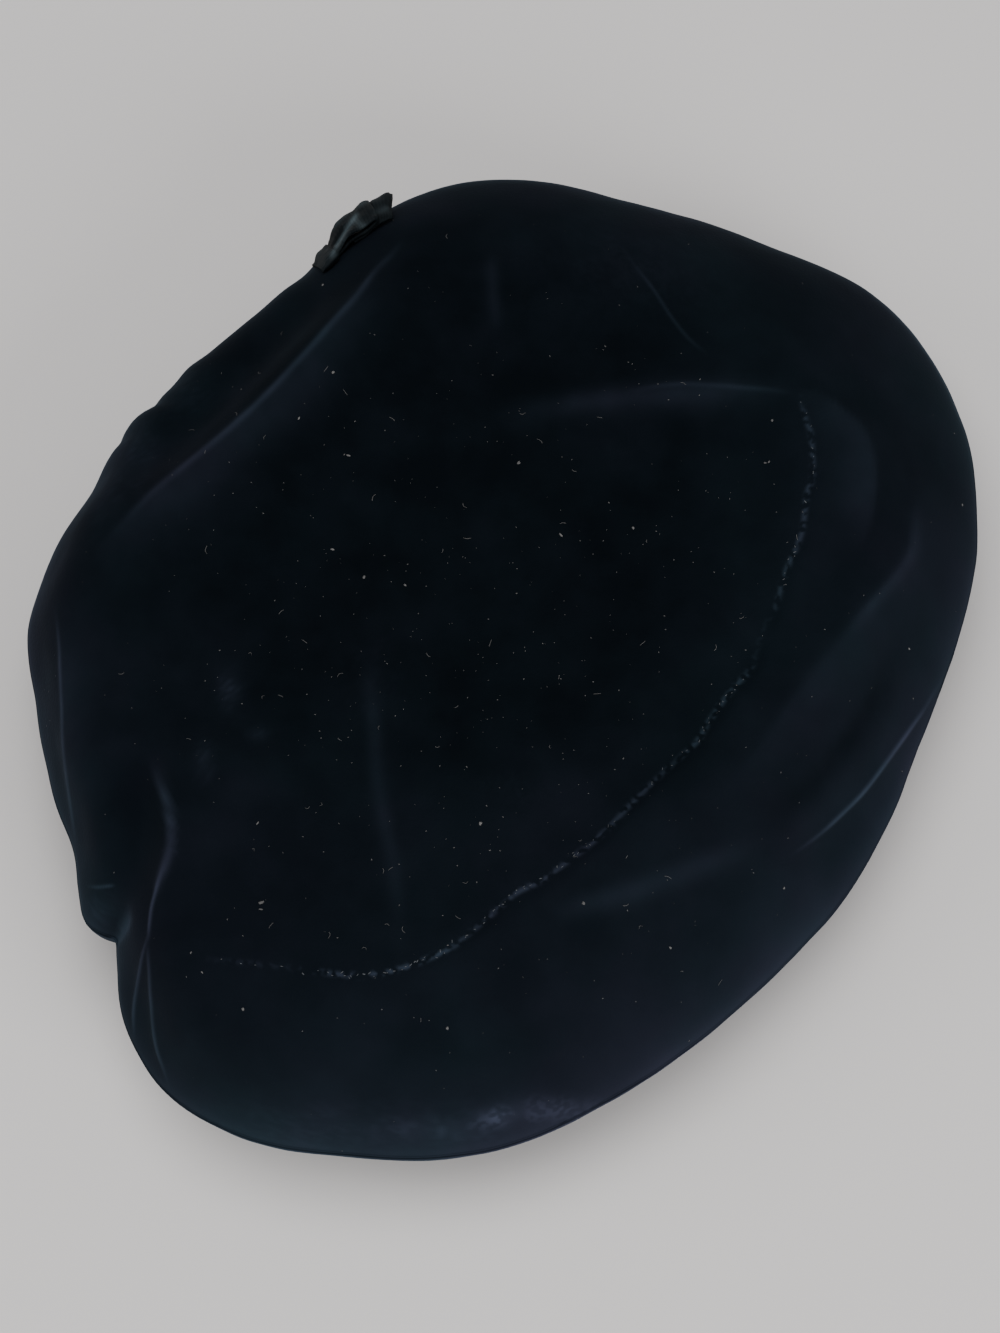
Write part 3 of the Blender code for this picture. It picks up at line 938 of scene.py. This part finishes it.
def rib_scale(spacing):
    """The scale at which a wave node's bands are a spacing apart, in its coordinates' unit."""
    return math.tau / 20 / spacing


def new_material(name, values):
    """A material whose Principled shader has constant values: it, its tree and the shader."""
    material = bpy.data.materials.new(name)
    material.use_nodes = True
    tree = material.node_tree
    shader = tree.nodes["Principled BSDF"]
    for key, value in values.items():
        shader.inputs[key].default_value = value
    return material, tree, shader


def silk_velvet():
    """Black silk velvet: a dense upright pile that swallows light and shows a cold sheen edge
    on.
    """
    material, tree, shader = new_material("black silk velvet", {
        "Roughness": 1.0, "Specular IOR Level": 0.05, "Sheen Weight": 0.12, "Sheen Roughness": 0.2,
        "Sheen Tint": linear("#8fb2cc"),
    })
    here = add(tree, "TexCoord")
    # The pale attribute holds crushed pile, dust and bruises, and also painted sheen, highlights and
    # shade
    pale = add(tree, "Attribute", {"attribute_name": "pale"})
    # Handling leaves patches of 17 mm a shade paler
    mottle = add(tree, "TexNoise", {}, {
        "Vector": here.outputs["Object"], "Scale": patch_scale(16.7), "Detail": 6.0,
    })
    spread = add(tree, "MapRange", {}, {
        "Value": mottle.outputs["Fac"], "From Min": 0.35, "From Max": 0.75,
        "To Min": 0.0, "To Max": 0.012,
    })
    sum_pale = add(tree, "Math", {"operation": "ADD", "use_clamp": True}, {
        0: pale.outputs["Fac"], 1: spread.outputs["Result"],
    })
    # The pile leans this way and that over some 45 mm, so its paler places drift between a green
    # grey and a violet one
    lean = add(tree, "TexNoise", {}, {
        "Vector": here.outputs["Object"], "Scale": patch_scale(45.5), "Detail": 3.0,
    })
    drift = add(tree, "MapRange", {}, {
        "Value": lean.outputs["Fac"], "From Min": 0.35, "From Max": 0.65,
    })
    bloom = add(tree, "Mix", {"data_type": "RGBA"}, {
        "Factor": drift.outputs["Result"], 6: linear("#597184"), 7: linear("#676b88"),
    })
    tint = add(tree, "Mix", {"data_type": "RGBA"}, {
        "Factor": sum_pale.outputs["Value"], 6: linear("#03070b"), 7: bloom.outputs[2],
    })
    tree.links.new(tint.outputs[2], shader.inputs["Base Color"])
    # Pile tufts are about 0.4 mm apart, too fine to show, so they are drawn at 0.9 mm
    tufts = add(tree, "TexNoise", {}, {
        "Vector": here.outputs["Object"], "Scale": patch_scale(0.91), "Detail": 2.0,
    })
    bump = add(tree, "Bump", {}, {
        "Height": tufts.outputs["Fac"], "Strength": 0.35, "Distance": 0.3 * MM,
    })
    tree.links.new(bump.outputs["Normal"], shader.inputs["Normal"])
    return material


def velvet_back():
    """The woven ground on the velvet's wrong side: a flat, dull black plain weave."""
    material, tree, shader = new_material("velvet ground weave", {
        "Roughness": 0.85, "Specular IOR Level": 0.25, "Sheen Weight": 0.1, "Sheen Roughness": 0.5,
    })
    here = add(tree, "TexCoord")
    # Its threads are about 0.3 mm apart, too fine to show, so they are drawn at 1 mm
    warp, weft = (
        add(tree, "TexWave", {"bands_direction": direction}, {
            "Vector": here.outputs["Object"], "Scale": rib_scale(0.98 * MM),
            "Distortion": 0.6, "Detail": 1.0,
        })
        for direction in ("X", "Y")
    )
    weave = add(tree, "Math", {"operation": "MULTIPLY"}, {
        0: warp.outputs["Fac"], 1: weft.outputs["Fac"],
    })
    tint = add(tree, "Mix", {"data_type": "RGBA"}, {
        "Factor": weave.outputs["Value"], 6: linear("#0d0e11"), 7: linear("#1c1e22"),
    })
    tree.links.new(tint.outputs[2], shader.inputs["Base Color"])
    bump = add(tree, "Bump", {}, {
        "Height": weave.outputs["Value"], "Strength": 0.3, "Distance": 0.2 * MM,
    })
    tree.links.new(bump.outputs["Normal"], shader.inputs["Normal"])
    return material


def twill_tape():
    """Black cotton twill tape: fine slanting ribs, matt."""
    material, tree, shader = new_material("black cotton twill tape", {
        "Roughness": 0.8, "Specular IOR Level": 0.3, "Sheen Weight": 0.15, "Sheen Roughness": 0.5,
    })
    flat = add(tree, "UVMap", {"uv_map": "UVMap"})
    slant = add(tree, "Mapping", {}, {
        "Vector": flat.outputs["UV"], "Rotation": (0, 0, math.radians(58)),
    })
    # The ribs are 1 mm apart on a UV map in mm
    ribs = add(tree, "TexWave", {"bands_direction": "X"}, {
        "Vector": slant.outputs["Vector"], "Scale": rib_scale(0.98),
        "Distortion": 0.4, "Detail": 1.0,
    })
    tint = add(tree, "Mix", {"data_type": "RGBA"}, {
        "Factor": ribs.outputs["Fac"], 6: linear("#0f1012"), 7: linear("#212226"),
    })
    tree.links.new(tint.outputs[2], shader.inputs["Base Color"])
    bump = add(tree, "Bump", {}, {
        "Height": ribs.outputs["Fac"], "Strength": 0.5, "Distance": 0.3 * MM,
    })
    tree.links.new(bump.outputs["Normal"], shader.inputs["Normal"])
    return material


def grosgrain():
    """Old silk and cotton grosgrain: cross ribs with a soft gloss, greyed and greened by age."""
    material, tree, shader = new_material("aged black grosgrain", {
        "Roughness": 0.7, "Specular IOR Level": 0.07, "Sheen Weight": 0.015, "Sheen Roughness": 0.4,
        "Sheen Tint": linear("#a9b5b2"),
    })
    flat = add(tree, "UVMap", {"uv_map": "UVMap"})
    # The cross ribs are 1 mm apart on a UV map in mm, and age has worn it in patches of 4 mm
    ribs = add(tree, "TexWave", {"bands_direction": "Y"}, {
        "Vector": flat.outputs["UV"], "Scale": rib_scale(1.01), "Distortion": 0.5, "Detail": 1.0,
    })
    here = add(tree, "TexCoord")
    age = add(tree, "TexNoise", {}, {
        "Vector": here.outputs["Object"], "Scale": patch_scale(4.17), "Detail": 3.0,
    })
    worn = add(tree, "MapRange", {}, {
        "Value": age.outputs["Fac"], "From Min": 0.38, "From Max": 0.68,
    })
    # The pale attribute holds painted highlights along the folds and painted shade in the hollow
    fold_light = add(tree, "Attribute", {"attribute_name": "pale"})
    ribs_and_fold_light = add(tree, "Math", {"operation": "MULTIPLY_ADD"}, {
        0: ribs.outputs["Fac"], 1: 0.03, 2: fold_light.outputs["Fac"],
    })
    aged = add(tree, "Math", {"operation": "MULTIPLY_ADD", "use_clamp": True}, {
        0: worn.outputs["Result"], 1: 0.06, 2: ribs_and_fold_light.outputs["Value"],
    })
    tint = add(tree, "Mix", {"data_type": "RGBA"}, {
        "Factor": aged.outputs["Value"], 6: linear("#060b0e"), 7: linear("#465257"),
    })
    tree.links.new(tint.outputs[2], shader.inputs["Base Color"])
    bump = add(tree, "Bump", {}, {
        "Height": ribs.outputs["Fac"], "Strength": 0.35, "Distance": 0.3 * MM,
    })
    tree.links.new(bump.outputs["Normal"], shader.inputs["Normal"])
    return material


def thread(name, colour):
    """Twisted sewing thread with a little mercerised gloss."""
    material, tree, shader = new_material(name, {
        "Roughness": 0.6, "Specular IOR Level": 0.3, "Sheen Weight": 0.2, "Sheen Roughness": 0.5,
    })
    here = add(tree, "TexCoord")
    # The plies turn every 1.1 mm
    twist = add(tree, "TexNoise", {}, {
        "Vector": here.outputs["Object"], "Scale": patch_scale(1.11), "Detail": 1.0,
    })
    tint = add(tree, "Mix", {"data_type": "RGBA"}, {
        "Factor": twist.outputs["Fac"], 6: linear("#111417"), 7: linear(colour),
    })
    tree.links.new(tint.outputs[2], shader.inputs["Base Color"])
    return material


def lint_fluff():
    """Cotton lint and dust caught in the pile: dull beige."""
    material, tree, shader = new_material("cotton lint", {
        "Roughness": 0.9, "Specular IOR Level": 0.2, "Sheen Weight": 0.2, "Sheen Roughness": 0.5,
    })
    here = add(tree, "TexCoord")
    # Specks that lie 17 mm apart differ in shade
    shade = add(tree, "TexNoise", {}, {
        "Vector": here.outputs["Object"], "Scale": patch_scale(16.7), "Detail": 2.0,
    })
    tint = add(tree, "Mix", {"data_type": "RGBA"}, {
        "Factor": shade.outputs["Fac"], 6: linear("#24262a"), 7: linear("#757370"),
    })
    tree.links.new(tint.outputs[2], shader.inputs["Base Color"])
    return material


def pale_floor():
    """Off-white painted board: matt, so that the hat lies in its own soft shadow."""
    material, _, _ = new_material("matt pale board", {
        "Roughness": 0.9, "Specular IOR Level": 0.2, "Base Color": linear("#d4d1cf"),
    })
    return material


# ---- Pieces ----

def show(name, mesh, materials, node):
    """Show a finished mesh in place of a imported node, or as an extra that rides with it."""
    piece = in_scene(name, mesh)
    for material in materials:
        mesh.materials.append(material)
    if node:
        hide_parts(node)
    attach(piece, "root")
    return piece


def velvet_piece(name, outer, line, node, materials):
    """The crown or the underside: spun from its outer side and its lining, draped and creased."""
    mesh = spun_form(name, outer, lining_line(line)[::-1])
    split_near_lines(mesh)
    turned = mesh_points(mesh)
    turned_slope = mesh_normals(mesh)[:, 2]
    seam_near = 1 - ease(abs(turned[:, 2] - EDGE_HEIGHT), *SEAM_REACH)
    move_points(mesh, drape(turned))
    crease_cloth(mesh, seam_near, turned_slope)
    return show(name, mesh, materials, node)


velvet_sides = [silk_velvet(), velvet_back()]
crown = velvet_piece(
    "crown_velvet", crown_line() + seam_roll(1), crown_line(), "crown", velvet_sides
)
velvet_piece(
    "underside_velvet", seam_roll(-1)[::-1] + underside_line(), underside_line(),
    "underside", velvet_sides,
)


# ---- Headband ----

def headband_piece():
    """The twill tape inside the opening: a thick band with soft edges and a slightly wavy top."""
    middle = OPENING_RADIUS + CLOTH / 2
    half = HEADBAND_THICKNESS / 2
    heights = between((HEADBAND_FOOT, HEADBAND_TOP), HEADBAND_RINGS)
    outer = [(middle + half, height) for height in heights[::-1]]
    inner = [(middle - half, height) for height in heights]
    hem = [
        (middle + half * math.cos(turn), HEADBAND_TOP + half * math.sin(turn))
        for turn in HEM_TURNS
    ]
    mesh = spun_form("headband_tape", outer, inner + hem)
    # The tape is the same on both sides
    for facet in mesh.polygons:
        facet.material_index = 0
    turned = mesh_points(mesh)
    bearing = np.arctan2(turned[:, 1], turned[:, 0])
    wrap_uv(mesh, bearing * middle / MM, turned[:, 2] / MM)
    points = drape(turned)
    wave = np.sin(bearing * 7 + 1) + np.sin(bearing * 13)
    points[:, 2] += HEADBAND_WAVE * wave * ease(turned[:, 2], 0, HEADBAND_TOP)
    points[:, 2] = np.minimum(points[:, 2], HEADBAND_HEIGHT)
    move_points(mesh, points)
    show("headband_tape", mesh, [twill_tape()], "headband")


def wrap_uv(mesh, across, up):
    """Lay a UV map in mm round a turned piece, closed where its two ends meet."""
    layer = mesh.uv_layers.new(name="UVMap")
    whole = across.max() - across.min()
    for facet in mesh.polygons:
        corners = [across[mesh.loops[index].vertex_index] for index in facet.loop_indices]
        high = max(corners)
        for index, value in zip(facet.loop_indices, corners):
            if high - value > whole / 2:
                value += whole
            layer.data[index].uv = (value, up[mesh.loops[index].vertex_index])


# ---- Ribbon trim ----

def on_crown(places):
    """Carry (bearing, station, height off the velvet) to the draped crown."""
    line = np.array(crown_line() + [(RIM_RADIUS, EDGE_HEIGHT)])
    lengths = lengths_along(line)
    lengths /= lengths[-1]
    bearing, station, lift = np.array(places).T
    near, here, far = (
        np.column_stack([np.interp(share, lengths, column) for column in line.T])
        for share in (station - STATION_STEP, station, station + STATION_STEP)
    )
    way = (far - near) / np.linalg.norm(far - near, axis=1)[:, None]
    radius = here[:, 0] - lift * MM * way[:, 1]
    height = here[:, 1] + lift * MM * way[:, 0]
    turn = np.radians(bearing)
    return drape(np.column_stack([radius * np.cos(turn), radius * np.sin(turn), height]))


def paint_fold_light(mesh):
    """Paint highlights along a ribbon's folds and edge, and shade in its hollow."""
    shown = in_picture(mesh_points(mesh))
    pale = np.zeros(len(shown))
    for fold_mark in RIBBON_FOLD_LIGHT:
        distance, _, along = nearest_on_path(shown, smooth_path(fold_mark.places, 4))
        distance *= PIXEL / MM
        pale += fold_mark.pale * tapered(along, *FOLD_LIGHT_ENDS) * np.exp(-(distance / fold_mark.reach) ** 2)
    write_attribute(mesh, "pale", pale)


def ribbon(name, lines, node, crumple, material):
    """A ribbon through rows of places on the crown, crumpled a little, with its ribs along u."""
    places = on_crown([place for line in lines for place in line])
    rows, columns = len(lines), len(lines[0])
    strip = bmesh.new()
    bmesh.ops.create_grid(strip, x_segments=columns - 1, y_segments=rows - 1, size=1)
    corners = sorted(strip.verts, key=lambda corner: (round(corner.co.y, 4), corner.co.x))
    run = lengths_along(places.reshape(rows, columns, 3)[:, columns // 2]) / MM
    spots = {}
    for index, (corner, place) in enumerate(zip(corners, places)):
        corner.co = place
        spots[corner] = (RIBBON_WIDTH * (index % columns) / (columns - 1), run[index // columns])
    layer = strip.loops.layers.uv.new("UVMap")
    for facet in strip.faces:
        for loop in facet.loops:
            loop[layer].uv = spots[loop.vert]
    strip.normal_update()
    for corner, (across, along) in spots.items():
        spot = Vector((across / CRUMPLE_SIZE[0], along / CRUMPLE_SIZE[1], CRUMPLE_SEED))
        dent = noise.noise(spot) + 0.5 * noise.noise(corner.co * SMALL_CRUMPLES)
        corner.co += corner.normal * dent * crumple * MM
    mesh = finished_mesh(name, strip)
    # Painted highlights and shade along the ribbon's folds
    paint_fold_light(mesh)
    piece = show(name, mesh, [material], node)
    wall = piece.modifiers.new("wall", "SOLIDIFY")
    wall.thickness = RIBBON_THICKNESS * MM
    wall.offset = 0
    wall.use_even_offset = True


def off_velvet(bearing, across):
    """How far the free end of the trim stands off the velvet, most on its outer side."""
    outer = FREE_INNER + (1 - FREE_INNER) * across
    return FREE_LIFT * ease(FREE_BEARING - bearing, 0, FREE_TURN) * outer


def under_ply(bearing, across):
    """Height of the loop's under ply: on the velvet at its root, then up over the tail."""
    over_tail = ease(WRAP_EDGE - bearing, 0, WRAP_EDGE - TAIL_ROOT - TAIL_CLEAR)
    return FIRST_PLY + PLY_STEP * over_tail + off_velvet(bearing, across)


def upper_ply(bearing, across):
    """Height of the loop's upper ply. Its bow rises from nothing at the wrap and is blunt at the
    tip. Between them it is crushed, so that it stands up at its inner side and sinks in its middle.
    """
    out = max(0, (WRAP_EDGE - bearing) / (WRAP_EDGE - LOOP_TIP))
    power, fall = LOOP_RISE if out < 0.5 else LOOP_FALL
    rounding = 1 - fall * abs(2 * out - 1) ** power
    side = LOOP_NEAR + (1 - LOOP_NEAR) * across ** 0.8
    bow = LOOP_BOW * (1 - 0.3 * out) * rounding * side
    crushed = math.exp(-((out - CRUSH_PLACE) / CRUSH_REACH) ** 2) * ease(out, 0, 0.15)
    ridge = CRUSH_RIDGE * np.exp(-(across / 0.2) ** 2)
    hollow = CRUSH_HOLLOW * np.exp(-((across - 0.45) / 0.15) ** 2)
    free = FIRST_PLY + PLY_STEP + LOOP_TURN * ease(out, 0, 0.4) + off_velvet(bearing, across)
    return free + bow + (ridge - hollow) * crushed


def loop_lines():
    """Under ply from the root to the tip, then the bowed and crumpled upper ply back to it."""
    across = between((0, 1), RIBBON_COLUMNS)
    stations = between(TRIM_STATIONS, RIBBON_COLUMNS)
    lines = []
    for ply, ends in ((under_ply, (LOOP_ROOT, LOOP_TIP)), (upper_ply, (LOOP_TIP, LOOP_ROOT))):
        for bearing in between(ends, LOOP_ROWS):
            lifts = ply(bearing, across)
            lines.append([(bearing, station, lift) for station, lift in zip(stations, lifts)])
    return lines


def tail_lines():
    """The slanting cut end: under the loop's tip it lies on the velvet, then it stands off, and
    its last part curls down again.
    """
    lines = []
    for down in between((0, 1), TAIL_ROWS):
        line = []
        for across in between((0, 1), RIBBON_COLUMNS):
            station = TRIM_STATIONS[0] + (TRIM_STATIONS[1] - TRIM_STATIONS[0]) * across
            end = TAIL_SHORT_END + (TAIL_LONG_END - TAIL_SHORT_END) * across
            bearing = TAIL_ROOT + (end - TAIL_ROOT) * down
            out = ease(LOOP_TIP + TAIL_START - bearing, 0, TAIL_TURN)
            curl = CURL_INNER + (CURL_OUTER - CURL_INNER) * across
            curl *= ease(end + CURL_TURN - bearing, 0, CURL_TURN)
            lift = FIRST_PLY + off_velvet(bearing, across) + (TAIL_LIFT * across - curl) * out
            line.append((bearing, station, lift))
        lines.append(line)
    return lines


def wrap_lines():
    """The turn of ribbon over the loop's root, with its two feet on the velvet."""
    top = FIRST_PLY + 2 * WRAP_PLY_STEP
    near, far = WRAP_STATIONS
    knee = (TRIM_GAP + top) / 2
    path = [(near, TRIM_GAP), (near, knee)]
    for share in between((0, 1), WRAP_ROWS):
        path.append((near + (far - near) * share, top - WRAP_ROUNDING * (2 * share - 1) ** 4))
    path += [(far, knee), (far, TRIM_GAP)]
    lines = []
    for station, lift in path:
        line = []
        for bearing in between(WRAP_BEARINGS, WRAP_COLUMNS):
            full = ease(WRAP_BEARINGS[0] - bearing, 0, WRAP_PRESSED_TURN)
            full = WRAP_PRESSED + (1 - WRAP_PRESSED) * full
            inwards = WRAP_DRAWN_IN * (1 - full) * ((near + far) / 2 - station)
            line.append((bearing, station + inwards, TRIM_GAP + (lift - TRIM_GAP) * full))
        lines.append(line)
    return lines


# ---- Stitches and lint ----

def velvet_tree():
    """A search tree of the crown's surface, to find what shows at a place of the picture."""
    form = bmesh.new()
    form.from_mesh(crown.data)
    tree = BVHTree.FromBMesh(form)
    form.free()
    return tree


def seen(tree, place):
    """The point of the crown that shows at a place of the picture, and the way it faces."""
    found, normal, _, _ = tree.ray_cast(Vector(CAMERA_PLACE), from_picture(place))
    return found, normal


def lying(way, normal):
    """The directions along and beside a small body that lies on the velvet."""
    along = (way - normal * way.dot(normal)).normalized()
    return along, normal.cross(along)


def grain(form, place, normal, way, size, lift):
    """A small rounded body on the velvet, long towards a way, with its three half sizes in mm."""
    along, side = lying(way, normal)
    turn = Matrix((along, side, normal)).transposed().to_4x4()
    spot = Matrix.Translation(place + normal * lift * MM)
    stretch = Matrix.Diagonal([part * MM for part in size] + [1])
    bmesh.ops.create_icosphere(form, subdivisions=1, radius=1, matrix=spot @ turn @ stretch)


def fibre(form, place, normal, way, length, bend):
    """A short bent fibre lying on the velvet, its length and bend in mm."""
    along, side = lying(way, normal)
    length = length * MM
    before = len(form.verts)
    made = bmesh.ops.create_cone(
        form, cap_ends=True, segments=4,
        radius1=FIBRE_RADIUS * MM, radius2=FIBRE_RADIUS * MM, depth=length,
    )["verts"]
    edges = {
        edge for corner in made for edge in corner.link_edges if edge.calc_length() > 0.9 * length
    }
    bmesh.ops.subdivide_edges(form, edges=list(edges), cuts=5, use_grid_fill=True)
    form.verts.ensure_lookup_table()
    for corner in form.verts[before:]:
        share = 2 * corner.co.z / length
        bow = bend * MM * (share ** 2 - 0.4 + 0.2 * share ** 3)
        flat = place + normal * (FIBRE_LIFT * MM + corner.co.x) + along * corner.co.z
        corner.co = flat + side * (corner.co.y + bow)


def stitched_line(tree):
    """The hand stitches along the crown, sunk unevenly in the pile with dust along them."""
    chance = random.Random(STITCH_SEED)
    form = bmesh.new()
    path = smooth_path(STITCHED_LINE, 12)
    lengths = lengths_along(path)
    along = between((0, 1), len(lengths))
    place = STITCH_AHEAD
    while place < lengths[-1]:
        strength = stitches_show(np.interp(place, lengths, along))
        spot = [
            np.interp(place, lengths, column) + chance.gauss(0, STITCH_STRAY) for column in path.T
        ]
        ahead = [np.interp(place + STITCH_AHEAD, lengths, column) for column in path.T]
        found, normal = seen(tree, spot)
        beyond, _ = seen(tree, ahead)
        if found and beyond and chance.random() < STITCH_CHANCE * strength:
            way = (beyond - found).normalized()
            aside = normal.cross(beyond - found).normalized()
            way += aside * chance.uniform(-STITCH_ASIDE, STITCH_ASIDE)
            size = [chance.uniform(*part) for part in STITCH_SIZES]
            grain(form, found, normal, way, size, chance.uniform(*STITCH_LIFT))
        place += chance.uniform(*STITCH_SPACING)
    dusty = thread("black cotton thread, dusty", "#575c61")
    show("crown_stitches", finished_mesh("crown_stitches", form), [dusty], None)


def lint(tree):
    """Specks and fibres of lint, thickest over the middle of the crown."""
    chance = random.Random(LINT_SEED)
    form = bmesh.new()
    spots = list(SPECKS)
    for _ in range(FINE_SPECKS):
        across = chance.gauss(*SPECKS_ACROSS)
        down = chance.gauss(*SPECKS_DOWN)
        spots.append((across, down, SPECK_LEAST + SPECK_MORE * chance.random() ** SPECK_POWER))
    for count, (across, down, size) in enumerate(spots):
        found, normal = seen(tree, (across, down))
        if not found:
            continue
        turn = chance.uniform(0, math.tau)
        way = Vector((math.cos(turn), math.sin(turn), 0.1))
        if count > len(SPECKS) and count % FIBRE_EVERY == 0:
            length = chance.uniform(*FIBRE_LENGTHS)
            fibre(form, found, normal, way, length, chance.uniform(*FIBRE_BENDS))
            continue
        for _ in range(CLUMP if count < len(SPECKS) else 1):
            off = Vector((chance.uniform(-1, 1), chance.uniform(-1, 1), 0))
            beside = found + normal.cross(off) * size * SPECK_WIDTH * MM
            stretch = chance.uniform(*SPECK_STRETCH)
            body = [size * part for part in (stretch, SPECK_WIDTH, SPECK_THICKNESS)]
            grain(form, beside, normal, way, body, SPECK_LIFT)
    show("lint", finished_mesh("lint", form), [lint_fluff()], None)


def band_stitches():
    """The running stitches that hold the tape, all round its lower edge inside."""
    form = bmesh.new()
    for step in range(BAND_STITCHES):
        turn = math.tau * step / BAND_STITCHES
        out = Vector((math.cos(turn), math.sin(turn), 0))
        way = Vector((-math.sin(turn), math.cos(turn), 0))
        place = BAND_STITCH_RADIUS * out + Vector((0, 0, BAND_STITCH_HEIGHT))
        grain(form, Vector(drape(np.array([place]))[0]), -out, way, BAND_STITCH_SIZE, 0)
    black = thread("black cotton thread", "#26282a")
    show("band_stitches", finished_mesh("band_stitches", form), [black], None)


headband_piece()
ribbed = grosgrain()
ribbon("ribbon_loop", loop_lines(), "trim_loop", 0.45, ribbed)
ribbon("ribbon_tail", tail_lines(), "trim_tail", 0.5, ribbed)
ribbon("ribbon_wrap", wrap_lines(), "trim_wrap", 0.3, ribbed)
surface = velvet_tree()
stitched_line(surface)
lint(surface)
band_stitches()


# ---- Floor, light and camera ----

FLOOR_REACH = 12
ROOM_STRENGTH = 0.58
LAMPS_MEET = Vector((0, 0, 0.03))


def floor_board():
    """A wide pale floor."""
    board = bmesh.new()
    bmesh.ops.create_grid(board, x_segments=1, y_segments=1, size=FLOOR_REACH)
    mesh = finished_mesh("floor", board)
    mesh.materials.append(pale_floor())
    in_scene("floor", mesh)


def soft_lamp(name, place, size, power):
    """A round lamp of a size in metres and a power in watts, which faces the hat."""
    lamp = bpy.data.lights.new(name, "AREA")
    lamp.shape = "DISK"
    lamp.size = size
    lamp.energy = power
    holder = in_scene(name, lamp)
    holder.location = place
    holder.rotation_euler = (LAMPS_MEET - Vector(place)).to_track_quat("-Z", "Y").to_euler()


def room_light():
    """Dim even light from all round."""
    world = bpy.data.worlds.new("studio")
    world.use_nodes = True
    background = world.node_tree.nodes["Background"]
    background.inputs["Color"].default_value = linear("#d8d8dc")
    background.inputs["Strength"].default_value = ROOM_STRENGTH
    bpy.context.scene.world = world


def photo_camera():
    """The camera of the photograph."""
    lens = bpy.data.cameras.new("camera")
    lens.lens = LENS
    lens.sensor_width = SENSOR
    camera = in_scene("camera", lens)
    camera.location = CAMERA_PLACE
    camera.rotation_euler = (math.pi / 2 - CAMERA_RISE, 0, 0)
    bpy.context.scene.camera = camera


floor_board()
soft_lamp("top lamp", (-0.25, 0.15, 1.6), 1.4, 17)
soft_lamp("front lamp", (0.85, -1.15, 0.6), 1.0, 21)
soft_lamp("left lamp", (-1.4, -0.2, 0.8), 0.9, 7)
room_light()
photo_camera()
